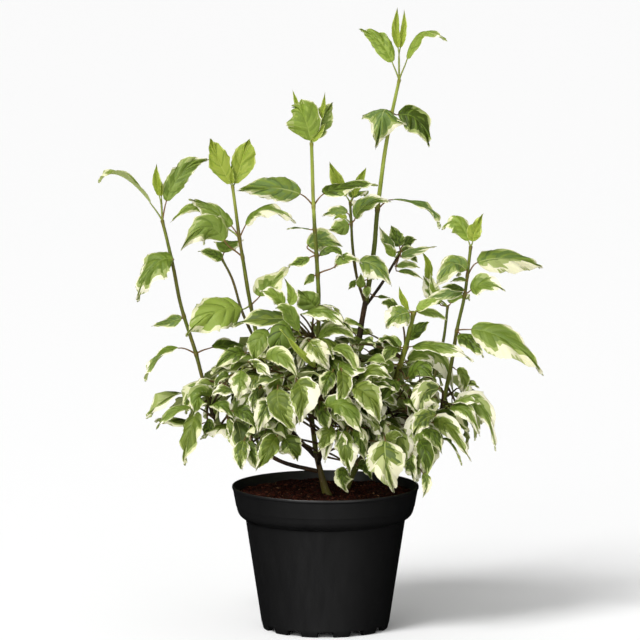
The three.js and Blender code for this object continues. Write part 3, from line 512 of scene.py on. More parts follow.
class Route:
    """A smooth path through points, with knots as far apart as the square root of the way between them."""

    SAMPLES = 400

    def __init__(self, points: tuple[Point, ...]) -> None:
        """Samples the curve. Each span blends four points by its knots, two by two, until one is left.

        Args:
            points: the points that the path runs through.
        """
        given = np.asarray(points, dtype=float)
        ends = np.vstack([2 * given[0] - given[1], given, 2 * given[-1] - given[-2]])
        knots = np.concatenate([[0], np.cumsum(np.sqrt(np.linalg.norm(np.diff(ends, axis=0), axis=1)))])
        time = np.linspace(knots[1], knots[-2], self.SAMPLES)
        span = np.clip(np.searchsorted(knots, time, side="right") - 1, 1, len(given) - 1)
        near = [ends[span + step] for step in (-1, 0, 1, 2)]
        when = [knots[span + step] for step in (-1, 0, 1, 2)]
        for reach in (1, 2):
            near = [self._blend(near[i], near[i + 1], when[i], when[i + reach], time)
                    for i in range(len(near) - 1)]
        self.points = self._blend(near[0], near[1], when[1], when[2], time)
        lengths = np.linalg.norm(np.diff(self.points, axis=0), axis=1)
        self.along = np.concatenate([[0], np.cumsum(lengths)])
        self.length = float(self.along[-1])

    @staticmethod
    def _blend(first: Array, second: Array, start: Array, end: Array, time: Array) -> Array:
        """Straight blend from first to second as time runs from start to end."""
        share = ((time - start) / (end - start))[:, None]
        return first * (1 - share) + second * share

    def at(self, shares: Array | float) -> Array:
        """Points at shares of the length, from 0 at the foot to 1 at the tip."""
        where = np.asarray(shares) * self.length
        return np.stack([np.interp(where, self.along, self.points[:, axis]) for axis in range(3)], axis=-1)

    def share_at_height(self, height: float) -> float:
        """The share of the length at which a rising path reaches a height."""
        rising = np.maximum.accumulate(self.points[:, 2])
        return float(np.interp(height, rising, self.along)) / self.length


class Ripple:
    """Smooth seeded noise over points: sine waves in random directions, each octave finer and lower."""

    WAVES = 5

    def __init__(self, seed: int, wavelength: float, octaves: int) -> None:
        """Draws the waves' directions and phases.

        Args:
            seed: what the random draws start from.
            wavelength: length of the longest waves.
            octaves: how many sets of waves there are, each half as long as the one before.
        """
        random = np.random.default_rng(seed)
        scale = np.repeat(2.0 ** np.arange(octaves), self.WAVES)[:, None]
        self.turns = unit(random.normal(size=(octaves * self.WAVES, 3))) * scale * TURN / wavelength
        self.phases = random.uniform(0, TURN, octaves * self.WAVES)
        self.weights = 1 / (scale[:, 0] * np.sqrt(self.WAVES))

    def __call__(self, points: Array) -> Array:
        """Noise between about -1 and 1 at each point."""
        return np.sin(points @ self.turns.T + self.phases) @ self.weights


class Sheaf:
    """Gathers many small surfaces into one mesh."""

    def __init__(self, name: str) -> None:
        """Starts an empty mesh.

        Args:
            name: the piece's name.
        """
        self.name = name
        self.points: list[Array] = []
        self.faces: list[Array] = []
        self.slots: list[Array] = []
        self.uvs: list[Array] = []
        self.values: dict[str, list[Array]] = {}
        self.count = 0

    def add(self, points: Array, faces: Array, slots: Array | None = None, uvs: Array | None = None,
            **values: Array) -> None:
        """Adds a surface, or many copies of one.

        Args:
            points: (n, 3) places of the surface, or (copies, n, 3) places of the copies.
            faces: (m, 4) corners, with -1 last in a triangle.
            slots: the finish of each face, copy by copy, or None where all have the first.
            uvs: (m, 4, 2) places on the picture that each corner bakes to.
            values: named numbers, one for each point.
        """
        copies = points.reshape(-1, points.shape[-2], 3)
        steps = (self.count + np.arange(len(copies)) * copies.shape[1])[:, None, None]
        self.points.append(points.reshape(-1, 3))
        self.faces.append(np.where(faces[None] < 0, -1, faces[None] + steps).reshape(-1, 4))
        self.slots.append(np.zeros(len(self.faces[-1]), dtype=int) if slots is None else np.ravel(slots))
        if uvs is not None:
            self.uvs.append(uvs)
        for key, value in values.items():
            self.values.setdefault(key, []).append(value)
        self.count += len(self.points[-1])

    def build(self, finishes: list["Finish"], sharp: float = 60.0) -> Piece:
        """Makes the object, with its place in its mesh.

        Args:
            finishes: one for each slot number.
            sharp: edges that turn by more than this many degrees stay sharp.

        Returns:
            The new object.
        """
        points = np.concatenate(self.points) * MM
        faces = np.concatenate(self.faces)
        used = faces >= 0
        sizes = used.sum(axis=1)
        mesh = bpy.data.meshes.new(self.name)
        mesh.vertices.add(len(points))
        mesh.vertices.foreach_set("co", points.ravel())
        mesh.loops.add(int(sizes.sum()))
        mesh.loops.foreach_set("vertex_index", faces[used].astype(np.int32))
        mesh.polygons.add(len(faces))
        mesh.polygons.foreach_set("loop_start", (np.cumsum(sizes) - sizes).astype(np.int32))
        mesh.polygons.foreach_set("material_index", np.concatenate(self.slots).astype(np.int32))
        mesh.polygons.foreach_set("use_smooth", np.ones(len(faces), dtype=bool))
        if self.uvs:
            layer = mesh.uv_layers.new(name="OFBake")
            layer.data.foreach_set("uv", np.concatenate(self.uvs)[used].astype(np.float32).ravel())
        for key, value in self.values.items():
            layer = mesh.attributes.new(key, "FLOAT", "POINT")
            layer.data.foreach_set("value", np.concatenate(value).astype(np.float32))
        for finish in finishes:
            mesh.materials.append(finish.material())
        mesh.update(calc_edges=True)
        mesh.validate()
        mesh.set_sharp_from_angle(angle=np.radians(sharp))
        piece = bpy.data.objects.new(self.name, mesh)
        bpy.context.scene.collection.objects.link(piece)
        LOG.info("%s: %d points, %d triangles", self.name, len(points), int((sizes - 2).sum()))
        return piece


def ring_faces(rows: int, sides: int) -> Array:
    """Joins rings of points into a tube, and closes it with two poles that are numbered after the rings.

    Args:
        rows: how many rings.
        sides: corners of a ring.

    Returns:
        The faces (m, 4), with -1 last in a triangle.
    """
    index = np.arange(rows * sides).reshape(rows, sides)
    turned = np.roll(index, -1, axis=1)
    walls = np.stack([index[:-1], index[1:], turned[1:], turned[:-1]], axis=-1).reshape(-1, 4)
    pole, none = np.full(sides, rows * sides), np.full(sides, -1)
    foot = np.stack([pole, index[0], turned[0], none], axis=-1)
    tip = np.stack([pole + 1, turned[-1], index[-1], none], axis=-1)
    return np.concatenate([walls, foot, tip])


def tubes(routes: Array, radii: Array, sides: int) -> tuple[Array, Array]:
    """Carries a round profile along each of several paths, and closes both ends with a pole.

    A point is the path's point plus its radius times (cos a * side + sin a * outward). side is square to
    the path and to the axis that the path runs along least, and outward is square to both.

    Args:
        routes: (n, rows, 3) points of n paths.
        radii: (n, rows) or (n, rows, sides) radius at each of them.
        sides: corners of the profile.

    Returns:
        The points (n, rows * sides + 2, 3), and the faces (m, 4) that each tube has.
    """
    count, rows = routes.shape[:2]
    tangents = unit(np.gradient(routes, axis=1))
    least = np.argmin(np.abs(tangents.mean(axis=1)), axis=1)
    side = unit(np.cross(tangents, np.eye(3)[least][:, None]))
    outward = np.cross(side, tangents)
    angles = np.arange(sides) * TURN / sides
    radii = radii if radii.ndim == 3 else np.repeat(radii[..., None], sides, axis=2)
    spokes = side[:, :, None] * np.cos(angles)[:, None] + outward[:, :, None] * np.sin(angles)[:, None]
    rings = routes[:, :, None] + spokes * radii[..., None]
    poles = np.stack([routes[:, 0] - tangents[:, 0] * radii[:, 0, :1] / 2,
                      routes[:, -1] + tangents[:, -1] * radii[:, -1, :1] / 2], axis=1)
    return np.concatenate([rings.reshape(count, -1, 3), poles], axis=1), ring_faces(rows, sides)


def tube_uvs(rows: int, sides: int, index: int, count: int) -> Array:
    """Lays a tube's wall flat on its own upright strip of the picture, and its ends on the strip's ends.

    Args:
        rows: rings of the tube.
        sides: corners of a ring.
        index: which strip the tube has.
        count: how many strips the picture is parted into.

    Returns:
        (m, 4, 2) places, for the faces that ring_faces() gives.
    """
    fill, edge = 0.92, 0.01
    left, right = index / count, (index + fill) / count
    place = np.stack(np.meshgrid(np.arange(sides), np.arange(rows - 1)), axis=-1)
    wall = (place[:, :, None] + [(0, 0), (0, 1), (1, 1), (1, 0)]).reshape(-1, 4, 2)
    ends = [np.stack([np.arange(sides)[:, None] + steps, np.full((sides, 4), row)], axis=-1)
            for row, steps in ((0, (0.5, 0, 1, 0.5)), (rows - 1, (0.5, 1, 0, 0.5)))]
    flat = np.concatenate([wall, *ends])
    flat[..., 0] = left + flat[..., 0] / sides * (right - left)
    flat[..., 1] = edge + flat[..., 1] / (rows - 1) * (1 - 2 * edge)
    return flat


class Painter:
    """Short ways to make the nodes of one material."""

    def __init__(self, name: str) -> None:
        """Starts a material with one shader.

        Args:
            name: the material's name.
        """
        self.material = bpy.data.materials.new(name)
        self.material.use_nodes = True
        self.tree = self.material.node_tree
        self.shader = self.tree.nodes["Principled BSDF"]
        self.place = self.node("TexCoord").outputs["Object"]

    def plug(self, value: object, target: Socket) -> None:
        """Joins an output to an input, or sets a constant on it.

        Args:
            value: the output or the constant.
            target: the input.
        """
        if isinstance(value, Socket):
            self.tree.links.new(value, target)
        else:
            target.default_value = value

    def node(self, kind: str, **values: object) -> bpy.types.Node:
        """A new node of a kind, with its inputs filled.

        Args:
            kind: the end of its type's name.
            values: an output or a constant for each input named.

        Returns:
            The node.
        """
        node = self.tree.nodes.new(f"ShaderNode{kind}")
        for name, value in values.items():
            self.plug(value, node.inputs[name])
        return node

    def set(self, **values: object) -> None:
        """Fills the shader's own sockets, named with _ for a space."""
        for name, value in values.items():
            self.plug(value, self.shader.inputs[name.replace("_", " ")])

    def noise(self, scale: float, detail: float = 3.0, stretch: Point = (1, 1, 1)) -> Socket:
        """Cloudy noise in the object's own metres, drawn out along the axes by stretch."""
        place = self.node("Mapping", Scale=stretch, Vector=self.place).outputs["Vector"]
        return self.node("TexNoise", Scale=scale, Detail=detail, Vector=place).outputs["Fac"]

    def cells(self, scale: float) -> Socket:
        """Small uneven cells.

        Args:
            scale: how many there are in a metre.

        Returns:
            The distance to their walls.
        """
        node = self.node("TexVoronoi", Scale=scale, Vector=self.place)
        node.feature = "DISTANCE_TO_EDGE"
        return node.outputs["Distance"]

    def attribute(self, name: str) -> Socket:
        """A number that the mesh holds for each point.

        Args:
            name: what the mesh calls it.

        Returns:
            The number.
        """
        node = self.node("Attribute")
        node.attribute_name = name
        return node.outputs["Fac"]

    def maths(self, operation: str, *inputs: Socket | float) -> Socket:
        """A sum, product or the like of sockets and numbers.

        Args:
            operation: what is done.
            inputs: what it is done to.

        Returns:
            The result.
        """
        node = self.node("Math")
        node.operation = operation
        for value, target in zip(inputs, node.inputs):
            self.plug(value, target)
        return node.outputs["Value"]

    def ramp(self, source: Socket, stops: Stops) -> Socket:
        """Colours dealt out along a number, each stop at its own place.

        Args:
            source: the number.
            stops: places and their colours.

        Returns:
            The colour.
        """
        node = self.node("ValToRGB", Fac=source)
        elements = node.color_ramp.elements
        while len(elements) < len(stops):
            elements.new(0.5)
        for element, (place, colour) in zip(elements, stops):
            element.position = place
            element.color = linear(colour)
        return node.outputs["Color"]

    def mix(self, share: Socket, first: Socket, second: Colour) -> Socket:
        """Turns one colour towards another by a share.

        Args:
            share: how far.
            first: the colour to turn.
            second: the other colour.

        Returns:
            The colour.
        """
        node = self.node("Mix")
        node.data_type = "RGBA"
        for name, value in (("Factor", share), ("A", first), ("B", linear(second))):
            self.plug(value, node.inputs[name])
        return node.outputs["Result"]

    def scaled(self, source: Socket, low: float, high: float) -> Socket:
        """Spreads a number of 0 to 1 from low to high."""
        return self.maths("MULTIPLY_ADD", source, high - low, low)

    def bump(self, height: Socket, distance: float, strength: float) -> None:
        """Raises the shader's surface by a height of 0 to 1 times a distance in metres."""
        node = self.node("Bump", Distance=distance, Strength=strength, Height=height)
        self.set(Normal=node.outputs["Normal"])


@dataclass(frozen=True)
class Finish:
    """A named finish of one plain colour, with what its nodes add left to each kind."""

    name: str
    colour: Colour

    def material(self) -> bpy.types.Material:
        """The finish's material, made once.

        Returns:
            The material.
        """
        known = bpy.data.materials.get(self.name)
        if known:
            return known
        painter = Painter(self.name)
        painter.set(Base_Color=linear(self.colour))
        self.dress(painter)
        return painter.material

    def dress(self, painter: Painter) -> None:
        """Adds the nodes of this kind of finish."""


@dataclass(frozen=True)
class LeafFinish(Finish):
    """A leaf's skin: soft sheen, light that glows through, and a fine net of veins."""

    roughness: float = 0.48
    glow: float = 0.12
    net: float = 560.0
    net_width: float = 0.14
    pores: float = 900.0

    def dress(self, painter: Painter) -> None:
        """Adds the net of veins as relief, and light that scatters inside the blade.

        Args:
            painter: what makes its nodes.
        """
        painter.set(Roughness=self.roughness, Specular_IOR_Level=0.3, Subsurface_Weight=self.glow,
                    Subsurface_Scale=0.0014, Subsurface_Radius=(0.7, 1.0, 0.25))
        net = painter.maths("MINIMUM", painter.cells(self.net), self.net_width)
        painter.bump(painter.maths("MULTIPLY_ADD", net, 4.0, painter.noise(self.pores)), 0.00028, 0.6)


@dataclass(frozen=True)
class GrainFinish(Finish):
    """A plain skin with fine relief, for leaf stalks, crumbs and the floor."""

    roughness: float
    gloss: float
    grain: float
    depth: float
    strength: float
    glow: float = 0.0
    detail: float = 3.0

    def dress(self, painter: Painter) -> None:
        """Adds the relief, and light that scatters inside where the skin glows.

        Args:
            painter: what makes its nodes.
        """
        painter.set(Roughness=self.roughness, Specular_IOR_Level=self.gloss, Subsurface_Weight=self.glow,
                    Subsurface_Scale=0.001)
        painter.bump(painter.noise(self.grain, self.detail), self.depth, self.strength)


@dataclass(frozen=True)
class BarkFinish(Finish):
    """Bark that ages from smooth green through olive and red-brown to dark cracked brown."""

    ages: Stops = ((0.0, (140, 152, 64)), (0.09, (122, 135, 46)), (0.22, (84, 94, 27)), (0.45, (74, 79, 27)),
                   (0.66, (76, 60, 34)), (0.82, (50, 38, 24)), (1.0, (30, 24, 17)))
    flush: Colour = (104, 68, 36)
    fleck: Colour = (150, 138, 100)

    def dress(self, painter: Painter) -> None:
        """Deals the colour out by the age and ring numbers of the mesh, broken up by streaks and flecks.

        Args:
            painter: what makes its nodes.
        """
        streaks = painter.noise(260.0, 4.0, (1.0, 1.0, 0.25))
        age = painter.maths("ADD", painter.attribute("age"), painter.scaled(streaks, -0.16, 0.16))
        clouds = painter.maths("MAXIMUM", painter.scaled(painter.noise(24.0, 2.0), -1.9, 2.1), 0.0)
        ring = painter.maths("MAXIMUM", painter.attribute("ring"), painter.maths("MINIMUM", clouds, 1.0))
        flushed = painter.mix(painter.maths("MULTIPLY", ring, 0.42), painter.ramp(age, self.ages), self.flush)
        flecks = painter.maths("GREATER_THAN", painter.noise(900.0, 1.0, (1.0, 1.0, 0.5)), 0.69)
        colour = painter.mix(painter.maths("MULTIPLY", flecks, 0.4), flushed, self.fleck)
        painter.set(Base_Color=colour, Roughness=painter.scaled(streaks, 0.42, 0.66), Specular_IOR_Level=0.22)
        cracks = painter.noise(1400.0, 3.0, (1.0, 1.0, 0.2))
        painter.bump(painter.maths("ADD", streaks, cracks), 0.00025, 0.7)


@dataclass(frozen=True)
class PotFinish(Finish):
    """Satin black moulded plastic with a faint bloom of dust and fine scuffs."""

    bloom: Colour = (16, 16, 16)

    def dress(self, painter: Painter) -> None:
        """Adds the cloudy bloom, the roughness that goes with it and a very fine moulded grain.

        Args:
            painter: what makes its nodes.
        """
        clouds = painter.noise(18.0, 4.0, (1.0, 1.0, 0.5))
        scuffs = painter.noise(160.0, 5.0, (1.0, 1.0, 0.15))
        painter.set(Base_Color=painter.ramp(clouds, ((0.35, self.colour), (0.8, self.bloom))),
                    Roughness=painter.scaled(scuffs, 0.38, 0.54), Specular_IOR_Level=0.95)
        painter.bump(painter.noise(1700.0, 2.0), 0.00006, 0.4)


@dataclass(frozen=True)
class SoilFinish(Finish):
    """Moist potting mix, dark reddish brown with paler fibres."""

    # Darkest colour, dealt to the lowest places of the relief: dark grains with painted shade in the hollows
    hollow_shade: Colour = (24, 7, 3)
    fibre: Colour = (64, 29, 17)
    chip: Colour = (88, 54, 36)

    def dress(self, painter: Painter) -> None:
        """Adds a granular mottle in colour and relief, darkest where the relief is lowest: the mix's own dark
        grains, with painted shade in the hollows.

        Args:
            painter: what makes its nodes.
        """
        grains = painter.noise(420.0, 5.0)
        stops = ((0.36, self.hollow_shade), (0.52, self.colour), (0.66, self.fibre), (0.76, self.chip))
        painter.set(Base_Color=painter.ramp(grains, stops), Roughness=0.9, Specular_IOR_Level=0.1)
        painter.bump(painter.maths("ADD", grains, painter.noise(1300.0, 4.0)), 0.0012, 0.9)


LEAF_COLOURS = {
    "young": {"a": (132, 147, 46), "b": (125, 141, 42), "c": (141, 154, 55), "edge": (174, 183, 97),
              "under": (148, 160, 74), "rib": (152, 164, 70), "vein": (122, 139, 42)},
    "fresh": {"a": (118, 138, 47), "b": (109, 129, 41), "c": (131, 149, 60), "vein": (108, 127, 41)},
    "mature": {"a": (101, 120, 40), "b": (92, 112, 34), "c": (112, 130, 51), "vein": (92, 111, 35)},
    # A darker copy of mature: painted shade for the crown's leaves
    "ripe": {"a": (90, 105, 30), "b": (82, 97, 25), "c": (103, 117, 42), "vein": (79, 95, 25)},
    "deep": {"a": (64, 79, 17), "b": (73, 88, 23), "vein": (58, 73, 16)},
    "blue": {"a": (100, 121, 59), "b": (92, 113, 51), "vein": (90, 111, 51)},
    # A darker copy of blue: painted shade for the crown's leaves
    "dusk": {"a": (88, 104, 46), "b": (80, 96, 39), "vein": (77, 93, 38)},
    "grey": {"a": (146, 157, 92), "b": (140, 152, 81), "c": (162, 169, 111)},
    "cream": {"a": (226, 223, 194), "b": (215, 212, 178), "c": (209, 209, 164)},
    "under": {"a": (156, 166, 102), "b": (140, 150, 84)},
}
LEAF_FINISHES = [LeafFinish(f"{kind}_{part}", colour)
                 for kind, parts in LEAF_COLOURS.items() for part, colour in parts.items()]
LEAF_SLOTS = {finish.name: index for index, finish in enumerate(LEAF_FINISHES)}
STALK_FINISHES = [GrainFinish(f"stalk_{kind}", colour, 0.5, 0.4, 900.0, 0.0001, 0.5, 0.1) for kind, colour
                  in (("green", (126, 136, 54)), ("red", (114, 84, 46)), ("brown", (90, 68, 38)))]


@dataclass
class LeafMould:
    """The grid that leaves are cast in.

    Rows follow the side veins, so that they run forward as they near the margin. A fine grid has some of its
    rows close beside each vein, so that the groove is narrow. On each half, columns run from the midrib to
    the green's edge, over a grey-green band, and through the cream to the margin.
    """

    veins: int
    rows_to_vein: tuple[float, ...]
    green: int
    grey: int
    cream: int
    rib: float = 0.0
    quilt: float = 0.046
    feather: float = 0.5
    crowd: float = 0.2
    sweep: float = 0.4
    thickness: float = 0.4
    wave: float = 0.1
    waves: tuple[float, float] = (2.2, 4.2)
    ragged: float = 0.058
    groove: float = 0.03
    droop: float = 0.16
    hook: float = 0.16
    lobes: tuple[float, ...] = (1.5, 2.7, 4.1)

    def __post_init__(self) -> None:
        """Counts rows and columns, and sets each row's share of the length, crowded towards foot and tip."""
        self.rows = self.veins * len(self.rows_to_vein)
        self.half = self.green + self.grey + self.cream + (self.rib > 0)
        steps = np.arange(self.veins)[:, None] + np.asarray(self.rows_to_vein)
        self.even = np.append(steps.ravel() / self.veins, 1.0)
        self.shares = self.even - self.crowd * np.sin(TURN * self.even) / TURN

    def topology(self) -> tuple[Array, Array, Array, Array]:
        """Numbers the points of one leaf, whose two skins share their rim, foot and tip.

        Returns:
            The faces (m, 4), and for each face its column from the midrib, with -1 on the underside, its
            row, and 0 for the left half or 1 for the right.
        """
        rows, columns = self.rows, 2 * self.half
        total = (rows - 1) * (columns + 1)
        upper = np.zeros((rows + 1, columns + 1), dtype=int)
        upper[1:-1] = np.arange(total).reshape(rows - 1, -1)
        upper[0], upper[-1] = total, total + 1
        lower = upper.copy()
        lower[1:-1, 1:-1] = total + 2 + np.arange((rows - 1) * (columns - 1)).reshape(rows - 1, -1)
        faces = []
        for grid, order in ((upper, (0, 1, 2, 3)), (lower, (3, 2, 1, 0))):
            corners = np.stack([grid[:-1, :-1], grid[:-1, 1:], grid[1:, 1:], grid[1:, :-1]], axis=-1)
            faces.append(self._drop_doubles(corners.reshape(-1, 4)[:, order]))
        column = np.tile(np.arange(columns), rows)
        own = np.where(column < self.half, self.half - 1 - column, column - self.half)
        row = np.repeat(np.arange(rows), columns)
        return (np.concatenate(faces), np.concatenate([own, np.full(len(own), -1)]), np.tile(row, 2),
                np.tile((column >= self.half).astype(int), 2))

    @staticmethod
    def _drop_doubles(corners: Array) -> Array:
        """Turns the squares that meet at a pole into triangles, with -1 last.

        Args:
            corners: (m, 4) corners of squares.

        Returns:
            (m, 4) corners.
        """
        result = corners.copy()
        for index in range(4):
            double = corners[:, index] == corners[:, (index + 1) % 4]
            kept = np.delete(corners, index, axis=1)
            result[double] = np.hstack([kept[double], np.full((int(double.sum()), 1), -1)])
        return result

    @staticmethod
    def outline(share: Array) -> Array:
        """Half width at a share of the length: round at the foot, widest before the middle, drawn out."""
        share = np.clip(share, 0, 1)
        return np.maximum(np.sin(np.pi * share ** 0.78), 0) ** (0.62 + 0.6 * share)

    def cast(self, leaves: list[Leaf], random: Random, sheaf: Sheaf) -> None:
        """Works out every leaf at once and adds them to a sheaf.

        A point lies at P(x) + side(x) * y + raised(x) * z. P is the parabola through foot, bend and tip. x is
        the row's share of the length, plus a sweep towards the tip that grows with the distance v from the
        midrib. y is v times the outline's half width, which a random walk from row to row makes uneven, plus
        a hook of the tip to one side. z sums the fold, the curl, the blade puffed up between its veins, the
        waved margin, the groove of the midrib and the droop of the tip.

        Args:
            leaves: the leaves to make.
            random: what the uneven edges of the green are drawn from.
            sheaf: where the leaves go.
        """
        count, half = len(leaves), self.half
        foot, bend, tip, face, width, fold, curl, twist = (
            np.stack([getattr(leaf, key) for leaf in leaves])[:, None, None]
            for key in ("foot", "bend", "tip", "face", "width", "fold", "curl", "twist"))
        share = self.shares[None, :, None]
        across = self._columns(leaves, random)
        away = np.abs(across)
        end = share + self.sweep * np.sin(np.pi * share) * (1 - 0.3 * share)
        along = share + (end - share) * away ** 1.4
        time = along[..., None]
        spine = (foot * ((1 - time) * (1 - 2 * time)) + bend * (4 * time * (1 - time))
                 + tip * (time * (2 * time - 1)))
        tangent = unit(foot * (4 * time - 3) + bend * (4 - 8 * time) + tip * (4 * time - 1))
        side = unit(np.cross(tangent, np.broadcast_to(face, tangent.shape)))
        raised = np.cross(side, tangent)
        turn = twist[..., None] * time
        side, raised = (side * np.cos(turn) + raised * np.sin(turn),
                        raised * np.cos(turn) - side * np.sin(turn))
        reach = self.outline(end) * width / 2
        walk = np.cumsum(random.normal(0, 1, (count, self.rows + 1, 2)), axis=1)
        walk = walk - np.linspace(0, 1, self.rows + 1)[None, :, None] * walk[:, -1:]
        walk = np.where(across < 0, walk[..., :1], walk[..., 1:]) * away ** 3
        nicks = random.uniform(-1, 1, (count, self.rows + 1, 1)) * away ** 6
        reach = reach * (1 + self.ragged * (walk + nicks))
        body = np.sin(np.pi * share) ** 0.5
        vein = self.even[None, :, None] * self.veins
        panel = 0.33 - np.abs(2 * (vein - np.floor(vein)) - 1) ** 2.4
        puff = panel * (1 - np.exp(-((away / 0.14) ** 2))) * (1 - 0.35 * away ** 2)
        phase = random.uniform(0, TURN, (count, 1, 1))
        waves = random.uniform(*self.waves, (count, 1, 1))
        rim = np.sin(TURN * waves * share + phase + 1.7 * np.sign(across)) * away ** 2
        droop = random.uniform(0.0, self.droop, (count, 1, 1)) * np.clip(along - 0.7, 0, 1) ** 2 / 0.09
        dent = self.groove * np.exp(-((away / 0.08) ** 2))
        height = (np.sin(fold) * away * reach - curl * away ** 2 * reach - droop * width
                  + (self.quilt * puff + self.wave * rim - dent) * width * body)
        hook = random.uniform(-self.hook, self.hook, (count, 1, 1)) * np.clip(along - 0.6, 0, 1) ** 2 / 0.16
        spread = across * reach * np.cos(fold * 0.7) + hook * width
        middle = spine + side * spread[..., None] + raised * height[..., None]
        skin = raised * (self.thickness / 2 * (1 - away ** 8) * body)[..., None]
        over, under = middle + skin, middle - skin
        points = np.concatenate([over[:, 1:-1].reshape(count, -1, 3), middle[:, :1, half],
                                 middle[:, -1:, half], under[:, 1:-1, 1:-1].reshape(count, -1, 3)], axis=1)
        faces, column, row, which = self.topology()
        sheaf.add(points, faces, self._slots(leaves, column, row, which, random))

    def _columns(self, leaves: list[Leaf], random: Random) -> Array:
        """Where each column lies, from -1 at the left margin over 0 at the midrib to 1 at the right margin.

        The green's edge wanders in long lobes, and jumps between the strips on either side of each vein, so
        that the cream is feathered along the veins.

        Args:
            leaves: the leaves, for the share of cream on each half.
            random: what the wandering is drawn from.

        Returns:
            (leaves, rows + 1, columns + 1) places.
        """
        size = (len(leaves), self.rows + 1)
        strips = 2 * self.veins
        panel = np.minimum(np.arange(size[1]) * 2 // len(self.rows_to_vein), strips - 1)
        halves = []
        for which in (0, 1):
            cream = np.array([leaf.cream[which] for leaf in leaves])[:, None]
            lobes = np.zeros(size)
            for turns in self.lobes:
                lobes += np.sin(TURN * (turns * self.shares + random.uniform(0, 1, (size[0], 1)))) / turns
            jumps = random.uniform(-1, 1, (size[0], strips))[:, panel]
            nicks = random.uniform(-1, 1, size)
            wide = cream * (0.9 + 0.2 * self.shares) * (1 + 0.3 * lobes * (1 - cream))
            wide = wide + (0.03 + self.feather * cream) * jumps + (0.02 + 0.08 * cream) * nicks
            edge = np.clip(1 - wide, 0.14, 0.96)
            band = np.clip(edge + 0.04 + 0.4 * (1 - edge) * random.uniform(0.2, 1, size), 0, 0.98)
            middle = [np.zeros((*size, 1))] if self.rib > 0 else []
            parts = [self.rib + (edge[..., None] - self.rib) * np.linspace(0, 1, self.green + 1)]
            for start, stop, columns in ((edge, band, self.grey), (band, 1, self.cream)):
                steps = np.linspace(0, 1, columns + 1)[1:]
                parts.append(start[..., None] + (stop - start)[..., None] * steps)
            halves.append(np.concatenate(middle + parts, axis=-1))
        return np.concatenate([-halves[0][..., :0:-1], halves[1]], axis=-1)

    def _slots(self, leaves: list[Leaf], column: Array, row: Array, which: Array, random: Random) -> Array:
        """Deals each leaf its finishes, and each face its zone's finish, varied from panel to panel.

        Args:
            leaves: the leaves, for their tones.
            column: column of each face from the midrib, -1 on the underside.
            row: row of each face.
            which: half that each face is on.
            random: what picks among a tone's finishes.

        Returns:
            (leaves, faces) slot numbers.
        """
        first = int(self.rib > 0)
        green, grey = first + self.green, first + self.green + self.grey
        zone = np.select([column < 0, column < first, column < green, column < grey],
                         [Zone.UNDERSIDE, Zone.MIDRIB, Zone.GREEN, Zone.GREY], Zone.MARGIN)
        dealt = np.array([[LEAF_SLOTS[names[random.integers(len(names))]] for names in (*zones, zones[0])]
                          for zones in (leaf.tone.finishes() for leaf in leaves)])
        chance = random.uniform(0, 1, (len(leaves), 2, self.veins, self.half))
        chance = chance[:, which, row // len(self.rows_to_vein), np.maximum(column, 0)]
        zones = np.repeat(zone[None], len(leaves), axis=0)
        zones = np.where((zone == Zone.GREEN) & (chance > 0.62), Zone.SECOND_GREEN, zones)
        zones = np.where((column == green - 1) & (chance < 0.3), Zone.GREY, zones)
        zones = np.where((zone == Zone.MARGIN) & (column < self.half - 1) & (chance < 0.2), Zone.GREY, zones)
        last = len(self.rows_to_vein) - 1
        place = row % len(self.rows_to_vein)
        # Most green faces on each panel's crest take the lighter finish: painted highlight
        highlight_rows = (place == last // 2) & (last > 3)
        zones = np.where(highlight_rows & (zone == Zone.GREEN) & (chance < 0.75), Zone.STREAK, zones)
        # The rows beside each vein take the darker vein finish: painted shade in the grooves
        beside = ((place == 0) | (place == last)) & (row > 0) & (row < self.rows - 1) & (last > 1)
        zones = np.where(beside & (zone == Zone.GREEN), Zone.VEIN, zones)
        return np.take_along_axis(dealt, zones, axis=1)


FINE_MOULD = LeafMould(6, (0.0, 0.08, 0.3, 0.5, 0.7, 0.92), 4, 1, 2, 0.04)
NEAR_MOULD = LeafMould(6, (0.0, 0.12, 0.5, 0.88), 2, 1, 2, 0.04)
OUTER_MOULD = LeafMould(5, (0.0, 0.5), 1, 1, 1, 0.05, quilt=0.04, feather=0.35, crowd=0.3)
PLAIN_MOULD = LeafMould(4, (0.0, 0.5), 1, 0, 1, quilt=0.03, feather=0.25, crowd=0.4)


def grow_stalks(leaves: list[Leaf], random: Random, sheaf: Sheaf, thick: float) -> None:
    """Adds a stalk from each leaf's node to its blade's foot.

    The stalk is the cubic that leaves the node towards the foot and a little upwards, and comes in along the
    blade's own midrib.

    Args:
        leaves: the leaves to hold.
        random: what each stalk's rise is drawn from.
        sheaf: where the stalks go.
        thick: radius at the node.
    """
    rows, sides, overlap = 7, 6, 1.2
    node = np.stack([leaf.node for leaf in leaves])[:, None]
    foot = np.stack([leaf.foot for leaf in leaves])[:, None]
    blade = unit(np.stack([leaf.bend * 4 - leaf.foot * 3 - leaf.tip for leaf in leaves])[:, None])
    reach = np.linalg.norm(foot - node, axis=-1, keepdims=True)
    leave = unit(foot - node + UP * reach * random.uniform(0.1, 0.5, (len(leaves), 1, 1))) * reach
    share = np.linspace(0, 1, rows)[None, :, None]
    routes = (node * (2 * share ** 3 - 3 * share ** 2 + 1) + leave * (share ** 3 - 2 * share ** 2 + share)
              + foot * (3 * share ** 2 - 2 * share ** 3) + blade * reach * (share ** 3 - share ** 2))
    routes[:, -1] += blade[:, 0] * overlap
    taper = np.linspace(1.25, 0.8, rows)[None] * thick * np.ones((len(leaves), 1))
    points, faces = tubes(routes, taper, sides)
    sheaf.add(points, faces, np.repeat([leaf.stalk for leaf in leaves], len(faces)))


